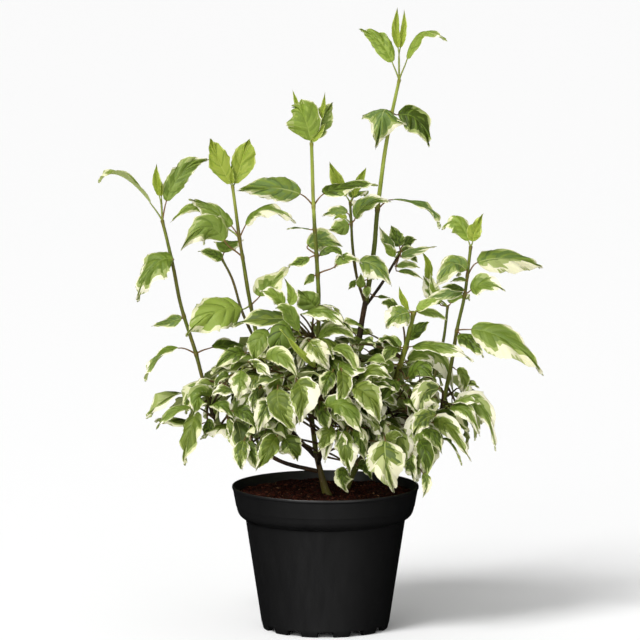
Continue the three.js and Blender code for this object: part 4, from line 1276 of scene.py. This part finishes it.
@dataclass
class Wickerwork:
    """The stems, boughs, shoots and twigs, each a tube with its bark's relief."""

    sides: int = 14
    step: float = 1.6
    flare_fade: float = 6.0
    ring_height: float = 2.4
    ring_swell: float = 0.24
    slim: float = 0.9
    soft_height: float = 433.0
    soft_fade: float = 14.0
    soft_gain: float = 0.2
    relief_length: float = 9.0
    drawn_out: float = 4.0
    seed: int = 40

    def __post_init__(self) -> None:
        """Draws the smooth path of every limb."""
        self.routes = {name: Route(limb.path) for name, limb in LIMBS.items()}

    def node_shares(self, name: str) -> list[float]:
        """Shares of a limb's length at which its leaves stand."""
        heights = sorted({tier.height for tier in TIERS if tier.limb == name})
        return [self.routes[name].share_at_height(height) for height in heights]

    def add_limb(self, name: str, index: int, count: int, sheaf: Sheaf) -> None:
        """Adds one limb: a tube with rings at its nodes, and ridges and knobs that grow with its bark's age.

        Its radius falls evenly from foot to tip, plus a flare that dies away above the soil. The bark of a
        green shoot is older below the height of its soft new growth.

        Args:
            name: the limb.
            index: its number in the piece.
            count: how many limbs the piece has.
            sheaf: where it goes.
        """
        route, limb = self.routes[name], LIMBS[name]
        rows = int(route.length / self.step)
        shares = np.linspace(0, 1, rows)
        line = route.at(shares)
        age = np.interp(shares, [0, 1], limb.wood.value)
        if limb.wood is Wood.SHOOT:
            age = age + self.soft_gain * np.clip((self.soft_height - line[:, 2]) / self.soft_fade, 0, 1)
        rings = np.zeros(rows)
        for share in self.node_shares(name):
            rings = np.maximum(rings, np.exp(-(((shares - share) * route.length / self.ring_height) ** 2)))
        even = limb.radii[0] + (limb.radii[1] - limb.radii[0]) * shares
        radius = (even + limb.flare * np.exp(-shares * self.flare_fade)) * self.slim
        radius = radius * (1 + self.ring_swell * rings)
        around = np.arange(self.sides) * TURN / self.sides
        place = np.zeros((rows, self.sides, 3))
        place[..., 0] = np.cos(around) * self.drawn_out
        place[..., 1] = np.sin(around) * self.drawn_out
        place[..., 2] = (shares * route.length)[:, None] / self.drawn_out
        relief = Ripple(self.seed + index, self.relief_length, 3)(place.reshape(-1, 3)).reshape(rows, -1)
        radii = radius[:, None] * (1 + (0.03 + 0.09 * age[:, None]) * relief)
        points, faces = tubes(line[None], radii[None], self.sides)
        spread = np.repeat(age, self.sides) + 0.05 * relief.ravel()
        sheaf.add(points, faces, uvs=tube_uvs(rows, self.sides, index, count),
                  age=np.append(spread, [age[0], age[-1]]),
                  ring=np.append(np.repeat(rings, self.sides), [0, 0]))

    def build(self, names: list[str], title: str) -> Piece:
        """Makes one piece of several limbs.

        Args:
            names: the limbs in it.
            title: the piece's name.

        Returns:
            The new piece.
        """
        sheaf = Sheaf(title)
        for index, name in enumerate(names):
            self.add_limb(name, index, len(names), sheaf)
        return sheaf.build([BarkFinish(f"{title}_bark", (100, 100, 50))])


@dataclass
class Shoots:
    """The leaves on the upright shoots, one by one as they stand."""

    wickerwork: Wickerwork

    def leaves(self, tiers: list[Tier]) -> list[Leaf]:
        """Every leaf of some tiers, at its node, with a little more cream than its row gives.

        Args:
            tiers: the tiers to set.

        Returns:
            Their leaves.
        """
        result = []
        for tier in tiers:
            route = self.wickerwork.routes[tier.limb]
            node = route.at(route.share_at_height(tier.height))
            result += [blade.leaf(node, node) for blade in tier.blades]
        for leaf in result:
            leaf.cream = tuple(min(0.9, share * 1.3 + 0.04) for share in leaf.cream)
        return result

    def build(self, title: str, tiers: list[Tier], seed: int) -> tuple[Piece, Piece]:
        """Casts the leaves of some tiers, and their stalks.

        Args:
            title: the piece's name.
            tiers: the tiers in it.
            seed: what the leaves' uneven edges are drawn from.

        Returns:
            The piece of leaves and the piece of stalks.
        """
        random = np.random.default_rng(seed)
        leaves, stalks = Sheaf(title), Sheaf(f"{title}_stalks")
        grown = self.leaves(tiers)
        FINE_MOULD.cast(grown, random, leaves)
        grow_stalks(grown, random, stalks, 0.75)
        return leaves.build(LEAF_FINISHES), stalks.build(STALK_FINISHES)


def front_view(places: Array) -> tuple[Array, Array]:
    """Where the front view shows points, whose x, y, z are the last axis: across the picture, and up it."""
    tilt = np.radians(Studio.elevation)
    return places[..., 0], places[..., 2] * np.cos(tilt) + places[..., 1] * np.sin(tilt)


@dataclass
class Crown:
    """The low leafy crown, grown by a seeded rule from the limbs.

    Each leaf at the front ends a twig that springs from the nearest limb. Each bush sends more twigs from its
    carriers to places spread over its room. Pairs of leaves stand along a twig, each pair square to the one
    before. Every leaf leans outward and droops by its own weight, with its upper face to the light. The
    leaves nearest the front are cast in a finer grid than the rest, and the outer ones of the rest in a finer
    grid than those inside.
    """

    wickerwork: Wickerwork
    spacing: float = 22.0
    clearance: float = 13.5
    stalk_length: float = 8.0
    stem_gap: float = 10.0
    pot_room: tuple[float, float] = (104.0, 154.0)
    sprouting: tuple[float, float] = (168.0, 300.0)
    lengths: tuple[float, float] = (36.0, 53.0)
    slimness: tuple[float, float] = (0.54, 0.66)
    # Two of these tones are darker copies of mature and blue: painted shade for the crown's leaves
    crown_leaf_tones: tuple[Tone, ...] = (RIPE, DUSK, MATURE, DEEP)
    tone_chances: tuple[float, ...] = (0.4, 0.22, 0.18, 0.2)
    twig_radii: tuple[float, float] = (1.3, 0.75)
    twig_age: tuple[float, float] = (0.85, 0.5)
    seed: int = 5
    near: int = 96
    outer: int = 98
    heart: Point = (8.0, 0.0, 200.0)
    front: list[Leaf] = field(default_factory=list)
    leaves: list[Leaf] = field(default_factory=list)
    twigs: list[Array] = field(default_factory=list)

    def grow(self) -> None:
        """Sets and varies the front leaves, then grows their twigs and every bush in turn.

        Each front leaf is turned a little, twisted and folded by chance, and given more cream and a darker
        tone, which is painted shade.
        """
        for blade in FRONT_LEAVES:
            foot, bend = np.asarray(blade.stalk, dtype=float), np.asarray(blade.bend, dtype=float)
            inward = unit(unit(foot - bend) * 0.7 + np.array([0.0, 0.7, 0.0]) + unit(self.heart - foot) * 0.3)
            self.front.append(blade.leaf(np.zeros(3), foot + inward * self.stalk_length))
        random = np.random.default_rng(self.seed)
        for leaf in self.front:
            leaf.face = unit(leaf.face + random.normal(0, 0.22, 3))
            leaf.cream = tuple(share * random.uniform(1.2, 2.0 if share < 0.25 else 1.25)
                               for share in leaf.cream)
            leaf.tone = CROWN_SHADE_TONES.get(leaf.tone, leaf.tone)
            leaf.fold += random.uniform(-0.2, 0.3)
            leaf.twist = random.uniform(-0.6, 0.6)
        for leaf in self.front:
            self.grow_twig(self.nearest(leaf.node, random), leaf.node, random, False)
        for index, bush in enumerate(BUSHES):
            self.grow_bush(bush, np.random.default_rng(self.seed * 100 + index))

    def nearest(self, node: Array, random: Random) -> Array:
        """A point near a node on the limbs below it, where a twig to the node can spring from.

        Args:
            node: where the twig goes.
            random: what picks among the nearest.

        Returns:
            The point.
        """
        low, high = self.sprouting
        points = np.concatenate([route.points[::8] for route in self.wickerwork.routes.values()])
        points = points[(points[:, 2] > low) & (points[:, 2] < high)]
        far = np.linalg.norm(points - node, axis=1) + 0.8 * np.maximum(0, points[:, 2] - node[2] + 12)
        close = np.flatnonzero(far < far.min() * 1.25 + 2)
        return points[close[random.integers(len(close))]]

    def grow_bush(self, bush: Bush, random: Random) -> None:
        """Grows the twigs of one bush towards places spread evenly round its room, each a golden angle on.

        Args:
            bush: the room and its carriers.
            random: what every choice is drawn from.
        """
        golden = np.pi * (3 - np.sqrt(5))
        for index in range(bush.twigs):
            height = 1 - 2 * (index + 0.5) / bush.twigs
            angle = index * golden + random.uniform(-0.4, 0.4)
            ring = np.sqrt(1 - height ** 2)
            way = np.array([np.cos(angle) * ring, np.sin(angle) * ring, height])
            goal = np.asarray(bush.centre) + way * random.uniform(0.55, 0.85) * np.asarray(bush.radii)
            route = self.wickerwork.routes[bush.carriers[index % len(bush.carriers)]]
            low, high = (route.share_at_height(end) for end in bush.heights)
            self.grow_twig(route.at(random.uniform(low, high)), goal, random, True)

    def grow_twig(self, foot: Array, goal: Array, random: Random, ended: bool) -> None:
        """Grows one twig and its pairs of leaves.

        Args:
            foot: where it leaves its limb.
            goal: where it ends.
            random: what every choice is drawn from.
            ended: whether the rule gives it its last pair of leaves too.
        """
        span = np.linalg.norm(goal - foot)
        bow = (foot + goal) / 2 + UP * span * 0.1 + random.normal(size=3) * span * 0.06
        share = np.linspace(0, 1, 14)[:, None]
        line = foot * (1 - share) ** 2 + bow * 2 * share * (1 - share) + goal * share ** 2
        before = len(self.leaves)
        phase = random.uniform(0, np.pi)
        along = unit(goal - foot)
        across = unit(np.cross(along, UP + 0.01))
        other = np.cross(across, along)
        for index in range(0 if ended else 1, max(2, int(span / self.spacing) + 1)):
            at = 1 - index * self.spacing / max(span, self.spacing)
            if at < 0.12:
                break
            here = np.array([np.interp(at, share[:, 0], line[:, axis]) for axis in range(3)])
            angle = phase + index * np.pi / 2
            arm = across * np.cos(angle) + other * np.sin(angle)
            for sign in (1, -1):
                self.add_leaf(here, along, arm * sign, index == 0, random)
        if not ended or len(self.leaves) > before:
            self.twigs.append(line)

    def add_leaf(self, node: Array, along: Array, arm: Array, last: bool, random: Random) -> None:
        """Adds a leaf if there is room for it.

        A leaf high on the crown droops less than one lower down.

        Args:
            node: where it leaves the twig.
            along: the twig's direction.
            arm: the side that it stands on.
            last: whether it ends the twig.
            random: what its shape and colours are drawn from.
        """
        outward = unit((node - np.asarray(self.heart)) * [1, 1, 0.2])
        level = unit((arm * 0.9 + along * 0.5 + outward * 0.7) * [1, 1, 0])
        droop = random.uniform(-0.1, 1.1) if last else random.uniform(0.25, 1.4)
        droop *= float(np.interp(node[2], (255, 290), (1.0, 0.35)))
        arch = random.uniform(0.3, 0.9)
        length = random.uniform(*self.lengths)
        width = length * random.uniform(*self.slimness)
        roll = random.normal(0, 0.35)
        stalk = unit(arm + along * 0.4 + outward * 0.3 + UP * 0.25)
        foot = node + stalk * self.stalk_length * random.uniform(0.7, 1.4)
        first, second = droop - arch / 2, droop + arch / 2
        bend = foot + length * 0.5 * (level * np.cos(first) - UP * np.sin(first))
        tip = bend + length * 0.5 * (level * np.cos(second) - UP * np.sin(second))
        face = level * np.sin(droop) + UP * np.cos(droop)
        face = face * np.cos(roll) + np.cross(level, face) * np.sin(roll)
        cream = random.uniform(0.14, 0.4, 2)
        if random.uniform() > 0.76:
            cream[random.integers(2)] = random.uniform(0.45, 0.85)
        tone = self.crown_leaf_tones[random.choice(4, p=self.tone_chances)]
        fold, curl, twist = random.uniform(-0.1, 0.6), random.uniform(0.05, 0.6), random.uniform(-0.7, 0.7)
        leaf = Leaf(node, foot, bend, tip, face, width, tone, tuple(cream), fold, curl, twist,
                    int(random.integers(3)))
        if self.has_room(np.stack([foot, bend, tip])):
            self.leaves.append(leaf)

    def has_room(self, places: Array) -> bool:
        """Whether a leaf can stand.

        Args:
            places: its foot, bend and tip.

        Returns:
            False where it would touch another leaf, hide a front leaf or the foot of a shoot that the front
            view shows, cut the pot or stand in open sky.
        """
        across, height = front_view(places)
        if np.any(np.abs(places[:, :2]) > CROWN_REACH[:2]):
            return False
        low, high = (np.interp(across, *edge) for edge in (CROWN_FOOT, CROWN_TOP))
        if np.any(height > high + 4) or np.any(height < low):
            return False
        radius, top = self.pot_room
        if np.any((np.hypot(places[:, 0], places[:, 1]) < radius) & (places[:, 2] < top)):
            return False
        for name in SHOWN_STEMS:
            stem = self.wickerwork.routes[name].points[::20]
            if np.any((self.shown_gap(stem, places) < self.stem_gap) & (places[:, 1] < stem[:, 1:2])):
                return False
        middles = np.stack([leaf.bend for leaf in self.front + self.leaves])
        if np.min(np.linalg.norm(middles - places[1], axis=1)) < self.clearance:
            return False
        front = middles[:len(self.front)]
        cover = 0.7 * np.array([leaf.width for leaf in self.front])[:, None]
        return not np.any((self.shown_gap(front, places) < cover) & (places[:, 1] < front[:, 1:2] + 8))

    @staticmethod
    def shown_gap(first: Array, second: Array) -> Array:
        """How far apart the front view shows each point of one list (n, 3) from each of another (m, 3)."""
        (across, height), (other_across, other_height) = front_view(first), front_view(second)
        return np.hypot(across[:, None] - other_across, height[:, None] - other_height)

    def build(self) -> dict[str, Piece]:
        """Casts the leaves, their stalks and the twigs.

        Returns:
            The pieces by name.
        """
        random = np.random.default_rng(self.seed)
        pieces = {}
        ranked = sorted(self.leaves, key=lambda leaf: float(leaf.bend[1]))
        near, rest = ranked[:self.near], ranked[self.near:]
        rest.sort(key=lambda leaf: -float(np.linalg.norm((leaf.bend - self.heart) / CROWN_REACH)))
        grids = ((NEAR_MOULD, near), (OUTER_MOULD, rest[:self.outer]), (PLAIN_MOULD, rest[self.outer:]))
        casts = {"crown_front_leaves": [(FINE_MOULD, self.front)]}
        for title, right in (("crown_left_leaves", False), ("crown_right_leaves", True)):
            casts[title] = [(mould, [leaf for leaf in leaves if (leaf.node[0] >= self.heart[0]) == right])
                            for mould, leaves in grids]
        for title, groups in casts.items():
            sheaf = Sheaf(title)
            for mould, leaves in groups:
                mould.cast(leaves, random, sheaf)
            pieces[title] = sheaf.build(LEAF_FINISHES)
        stalks = Sheaf("crown_leaf_stalks")
        grow_stalks(self.front + self.leaves, random, stalks, 0.6)
        pieces["crown_leaf_stalks"] = stalks.build(STALK_FINISHES)
        pieces["crown_twigs"] = self.build_twigs()
        LOG.info("crown: %d front leaves and %d more on %d twigs", len(self.front), len(self.leaves),
                 len(self.twigs))
        return pieces

    def build_twigs(self) -> Piece:
        """Makes the twigs, thin tubes with bark that is younger towards their tips.

        Returns:
            The new piece.
        """
        sheaf = Sheaf("crown_twigs")
        lines = np.stack(self.twigs)
        rows, sides = lines.shape[1], 8
        radii = np.linspace(*self.twig_radii, rows)[None] * np.ones((len(lines), 1))
        points, faces = tubes(lines, radii, sides)
        age = np.append(np.repeat(np.linspace(*self.twig_age, rows), sides), self.twig_age)
        for index, tube in enumerate(points):
            sheaf.add(tube, faces, uvs=tube_uvs(rows, sides, index, len(points)), age=age,
                      ring=np.zeros(len(age)))
        return sheaf.build([BarkFinish("crown_twig_bark", (90, 70, 44))])


@dataclass
class Pot:
    """The nursery pot: a thin shell turned about the Z axis, with a rim band and a ring of feet."""

    height: float = 146.0
    rim: float = 95.0
    neck: tuple[float, float] = (81.3, 112.1)
    band: tuple[float, float] = (89.1, 119.2)
    step: tuple[float, float] = (91.0, 126.0)
    foot: tuple[float, float] = (65.1, 6.0)
    foot_edge: float = 63.5
    foot_inside: float = 58.6
    wall: float = 1.8
    floor: float = 2.0
    feet: int = 12
    notch: tuple[float, float, float] = (6.45, 7.5, 5.6)

    def profile(self) -> Array:
        """The shell's outline from the floor's underside round the outside to the floor's upper face.

        Returns:
            (n, 2) radii and heights, with every corner rounded by its own arc.
        """
        wall = self.wall
        corners = [
            (0.0, self.foot[1], 0.0), (self.foot_inside, self.foot[1], 0.4), (self.foot_inside, 0.0, 0.4),
            (self.foot_edge, 0.0, 0.6), (*self.foot, 1.2), (*self.neck, 1.0), (86.6, 115.4, 2.0),
            (*self.band, 2.2), (self.step[0] - 0.35, self.step[1] - 0.6, 0.2), (*self.step, 0.4),
            (94.1, 142.4, 0.6), (self.rim, 143.6, 0.5), (self.rim, self.height, 0.7),
            (self.rim - wall, self.height, 0.5), (self.band[0] - wall, self.band[1] + 1, 2.0),
            (self.neck[0] - wall, self.neck[1], 2.0), (self.foot[0] - wall, self.foot[1] + self.floor, 2.0),
            (0.0, self.foot[1] + self.floor, 0.0),
        ]
        return round_corners(corners, 5)

    def build(self) -> Piece:
        """Turns the profile about the axis, and lifts its lowest part over each notch.

        There is a spoke at each edge of each notch between the feet. Height is never less than the notch's
        own edge, which climbs straight from 0 at the wider angle to the notch's height at the narrower one.

        Returns:
            The new piece.
        """
        profile = self.profile()
        top, bottom, rise = self.notch
        pitch = 360 / self.feet
        own = np.array([-bottom, -top, -top / 2, 0, top / 2, top, bottom, 10, 12.5, 15, 17.5, 20])
        angles = np.radians(((np.arange(self.feet) * pitch)[:, None] + own).ravel() - 90)
        off = np.abs((np.degrees(angles) + 90 + pitch / 2) % pitch - pitch / 2)
        edge = np.clip((bottom - off) / (bottom - top), 0, 1) * rise
        radius, height = profile[1:-1, :1], profile[1:-1, 1:]
        raised = np.where(height < rise, np.maximum(height, edge), height)
        ring = np.stack([radius * np.cos(angles), radius * np.sin(angles), raised], axis=-1)
        sheaf = Sheaf("nursery_pot")
        sheaf.add(*close_turned(ring, profile[0, 1], profile[-1, 1]))
        return sheaf.build([PotFinish("pot_plastic_black", (11, 11, 12))], 35)


def round_corners(corners: list[tuple[float, float, float]], steps: int) -> Array:
    """Rounds each corner of an open outline with a quadratic arc that starts its own distance away.

    Args:
        corners: radius, height and rounding of each corner.
        steps: points on each arc.

    Returns:
        (n, 2) points.
    """
    points = np.array([corner[:2] for corner in corners])
    result = [points[:1]]
    share = np.linspace(0, 1, steps)[:, None]
    for before, here, after, (_, _, reach) in zip(points, points[1:], points[2:], corners[1:]):
        start, end = (here + unit(other - here) * min(reach, np.linalg.norm(other - here) * 0.45)
                      for other in (before, after))
        result.append(start * (1 - share) ** 2 + here * 2 * share * (1 - share) + end * share ** 2)
    result.append(points[-1:])
    return np.concatenate(result)


def close_turned(ring: Array, foot: float, top: float) -> tuple[Array, Array]:
    """Closes a turned grid with a pole on the axis at each end.

    Args:
        ring: (rows, spokes, 3) places, from the underside round the outside to the upper face.
        foot: height of the first pole.
        top: height of the last pole.

    Returns:
        The points and the faces, with their fronts outward.
    """
    faces = ring_faces(*ring.shape[:2])
    faces = np.where(faces[:, 3:] < 0, faces[:, [0, 2, 1, 3]], faces[:, [0, 3, 2, 1]])
    return np.concatenate([ring.reshape(-1, 3), [[0, 0, foot], [0, 0, top]]]), faces


def twenty_sided() -> tuple[Array, Array]:
    """The regular solid of twenty triangles: two poles, and two rings of five corners turned by half a step.

    Returns:
        The corners (12, 3) and the faces (20, 4), with -1 last.
    """
    ring = np.arange(5)
    turn = TURN * np.concatenate([ring, ring + 0.5]) / 5
    rise = np.repeat([1, -1], 5) / np.sqrt(5)
    belt = np.stack([np.cos(turn) * 2 / np.sqrt(5), np.sin(turn) * 2 / np.sqrt(5), rise], axis=-1)
    corners = np.concatenate([belt, [[0, 0, 1], [0, 0, -1]]])
    after = (ring + 1) % 5
    triples = ((ring, after, np.full(5, 10)), (after + 5, ring + 5, np.full(5, 11)),
               (ring, ring + 5, after), (ring + 5, after + 5, after))
    return corners, np.concatenate([np.stack([*triple, np.full(5, -1)], axis=-1) for triple in triples])


@dataclass
class Soil:
    """The potting mix: a lumpy surface inside the pot, strewn with crumbs, fibres and chips of bark."""

    top: float = 138.0
    fall: float = 1.2
    lump: float = 1.1
    radius: float = 90.6
    sides: tuple[tuple[float, float], ...] = ((64.0, 10.0), (79.0, 111.5), (86.6, 119.5), (90.6, 135.0))
    lumps: Ripple = field(default_factory=lambda: Ripple(3, 26.0, 5))
    spokes: int = 200
    crumbs: int = 2600
    crumb_kinds: tuple[tuple[str, Colour, float], ...] = (
        ("dark", (34, 12, 6), 0.46), ("red", (60, 24, 13), 0.42), ("tan", (82, 46, 29), 0.1),
        ("pale", (116, 84, 60), 0.02))

    def height(self, places: Array) -> Array:
        """Height of the surface at x, y: level, with a slight fall at the wall and small lumps.

        Args:
            places: x and y in the last axis.

        Returns:
            The heights.
        """
        flat = np.concatenate([places, np.zeros((*places.shape[:-1], 1))], axis=-1)
        out = np.linalg.norm(places, axis=-1) / self.radius
        return self.top - self.fall * out ** 6 + self.lump * self.lumps(flat)

    def build(self) -> Piece:
        """Makes the body of the soil, whose sides follow the pot's wall down to its floor.

        Returns:
            The new piece.
        """
        angles = np.arange(self.spokes) * TURN / self.spokes
        round_plan = np.stack([np.cos(angles), np.sin(angles)], axis=-1)
        walls = np.array(self.sides)[:, None]
        heights = walls[..., 1:] * np.ones((self.spokes, 1))
        sides = np.concatenate([walls[..., :1] * round_plan, heights], axis=-1)
        disc = self.radius * np.linspace(1, 0.01, 70)[:, None, None] * round_plan
        surface = np.concatenate([disc, self.height(disc)[..., None]], axis=-1)
        middle = float(self.height(np.zeros((1, 2)))[0])
        sheaf = Sheaf("potting_mix")
        sheaf.add(*close_turned(np.concatenate([sides, surface]), self.sides[0][1], middle))
        return sheaf.build([SoilFinish("potting_mix_body", (46, 17, 9))], 80)

    def build_crumbs(self) -> Piece:
        """Strews the surface with uneven twenty-sided crumbs, some drawn out into chips and fibres.

        Returns:
            The new piece.
        """
        random = np.random.default_rng(21)
        corners, faces = twenty_sided()
        count = self.crumbs
        angle = random.uniform(0, TURN, count)
        out = (self.radius - 2.5) * np.sqrt(random.uniform(0, 1, count))
        place = np.stack([out * np.cos(angle), out * np.sin(angle)], -1)
        size = 0.5 + 1.1 * random.power(0.45, count)
        stretch = np.stack([random.uniform(low, high, count) for low, high in
                            ((0.8, 2.4), (0.7, 1.1), (0.4, 0.9))], axis=-1)
        turn = random.uniform(0, TURN, count)[:, None]
        shape = corners[None] * stretch[:, None] * random.uniform(0.75, 1.25, (count, len(corners), 1))
        x, y, z = np.moveaxis(shape, -1, 0)
        points = np.stack([x * np.cos(turn) - y * np.sin(turn), x * np.sin(turn) + y * np.cos(turn),
                           z + x * random.uniform(-0.3, 0.3, (count, 1))], axis=-1) * size[:, None, None]
        points[..., :2] += place[:, None]
        points[..., 2] += (self.height(place) + 0.2 * size)[:, None]
        kinds, colours, chances = zip(*self.crumb_kinds)
        sheaf = Sheaf("potting_mix_crumbs")
        sheaf.add(points, faces, np.repeat(random.choice(len(kinds), count, p=chances), len(faces)))
        return sheaf.build([GrainFinish(f"crumb_{kind}", colour, 0.88, 0.12, 1500.0, 0.0004, 0.8)
                            for kind, colour in zip(kinds, colours)], 30)


@dataclass
class Lamp:
    """A light turned to the plant's middle. spread is a sun's width in degrees, or the size of a soft box."""

    name: str
    power: float
    spread: float
    place: Point
    kind: str = "AREA"
    aim: Point = (0.0, 0.0, 300.0)

    def build(self) -> None:
        """Makes the light and hangs it in its place."""
        lamp = bpy.data.lights.new(self.name, self.kind)
        lamp.energy = self.power
        if self.kind == "SUN":
            lamp.angle = np.radians(self.spread)
        else:
            lamp.size = self.spread * MM
        light = bpy.data.objects.new(self.name, lamp)
        light.location = np.asarray(self.place) * MM
        line = Vector(np.asarray(self.aim) - np.asarray(self.place))
        light.rotation_euler = line.to_track_quat("-Z", "Y").to_euler()
        bpy.context.scene.collection.objects.link(light)


@dataclass
class Studio:
    """A plain pale floor, soft light from all round and a camera at the photo's own height."""

    aim: Point = (-5.5, 0.0, 315.7)
    distance: float = 8000.0
    elevation: float = 8.3
    lens: float = 444.0
    sensor: float = 36.0
    floor: float = 400000.0
    spokes: int = 96
    surround: float = 0.42
    lamps: tuple[Lamp, ...] = (
        Lamp("sky", 2.5, 22.0, (-1800.0, -2200.0, 3200.0), "SUN"),
        Lamp("softbox", 22.0, 1300.0, (-1000.0, -2700.0, 900.0)),
        Lamp("card", 11.0, 1300.0, (1250.0, -2500.0, 320.0)))

    def build(self) -> None:
        """Makes the floor, the lights and the camera."""
        scene = bpy.context.scene
        scene.view_settings.view_transform = "Standard"
        self.build_floor()
        for lamp in self.lamps:
            lamp.build()
        scene.world = self.build_surround()
        angle = np.radians(self.elevation)
        camera = bpy.data.objects.new("camera", bpy.data.cameras.new("camera"))
        camera.data.lens = self.lens
        camera.data.sensor_width = self.sensor
        camera.data.clip_end = 1000
        back = np.array([0, -np.cos(angle), np.sin(angle)]) * self.distance
        camera.location = (np.asarray(self.aim) + back) * MM
        camera.rotation_euler = Vector(-back).to_track_quat("-Z", "Y").to_euler()
        scene.collection.objects.link(camera)
        scene.camera = camera

    def build_surround(self) -> bpy.types.World:
        """Even light from all round, as pale as the floor where the two meet and dimmer higher up.

        Returns:
            The world that holds it.
        """
        world = bpy.data.worlds.new("studio")
        world.use_nodes = True
        nodes, links = world.node_tree.nodes, world.node_tree.links
        place, height, fade = (nodes.new(f"ShaderNode{kind}")
                               for kind in ("TexCoord", "SeparateXYZ", "MapRange"))
        for name, value in zip(("From Min", "From Max", "To Min", "To Max"), (0.1, 0.4, 1.0, self.surround)):
            fade.inputs[name].default_value = value
        links.new(place.outputs["Generated"], height.inputs["Vector"])
        links.new(height.outputs["Z"], fade.inputs["Value"])
        links.new(fade.outputs["Result"], nodes["Background"].inputs["Strength"])
        nodes["Background"].inputs["Color"].default_value = (1, 1, 1, 1)
        world.cycles_visibility.glossy = False
        return world

    def build_floor(self) -> None:
        """A round floor, level with the pot's feet."""
        spokes = self.spokes
        angles = np.arange(spokes) * TURN / spokes
        rim = np.stack([np.cos(angles), np.sin(angles), np.zeros(spokes)], -1) * self.floor
        index = np.arange(1, spokes + 1)
        faces = np.stack([np.zeros(spokes, dtype=int), index, np.roll(index, -1), np.full(spokes, -1)], -1)
        sheaf = Sheaf("studio_floor")
        sheaf.add(np.concatenate([[[0, 0, 0]], rim]), faces)
        ground = sheaf.build([GrainFinish("studio_floor", (250, 250, 250), 0.9, 0.1, 300.0, 0.0001, 0.1,
                                          detail=2.0)])
        ground.visible_glossy = False


def dress(piece: Piece, slot: str, *nodes: str) -> None:
    """Ties a finished piece to the frame.

    Args:
        piece: the finished piece.
        slot: the record's material slot; not used.
        nodes: the CAD nodes that it stands for.
    """
    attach(piece, "root")
    if nodes:
        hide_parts(*nodes)


def main() -> None:
    """Builds every sub-assembly in order and ties each to the frame."""
    logging.basicConfig(level=logging.INFO, format="%(message)s")
    Studio().build()
    dress(Pot().build(), "pot_plastic", "pot")
    soil = Soil()
    dress(soil.build(), "potting_soil", "soil")
    dress(soil.build_crumbs(), "potting_soil")
    wickerwork = Wickerwork()
    old = [name for name, limb in LIMBS.items() if limb.wood in (Wood.OLD, Wood.STEM)]
    green = [name for name in LIMBS if name not in old]
    dress(wickerwork.build(old, "old_wood"), "old_bark", *old)
    dress(wickerwork.build(green, "green_shoots"), "green_bark", *green)
    shoots = Shoots(wickerwork)
    for title, slot, young in (("shoot_leaves", "leaf", False), ("young_leaves", "young_leaf", True)):
        tiers = [tier for tier in TIERS if (tier.node in YOUNG_TIERS) is young]
        leaves, stalks = shoots.build(title, tiers, 11 + young)
        dress(leaves, slot, *[tier.node for tier in tiers if tier.node])
        dress(stalks, "green_bark")
    crown = Crown(wickerwork)
    crown.grow()
    for title, piece in crown.build().items():
        dress(piece, *CROWN_PIECES[title])


if __name__ == "__main__":
    main()
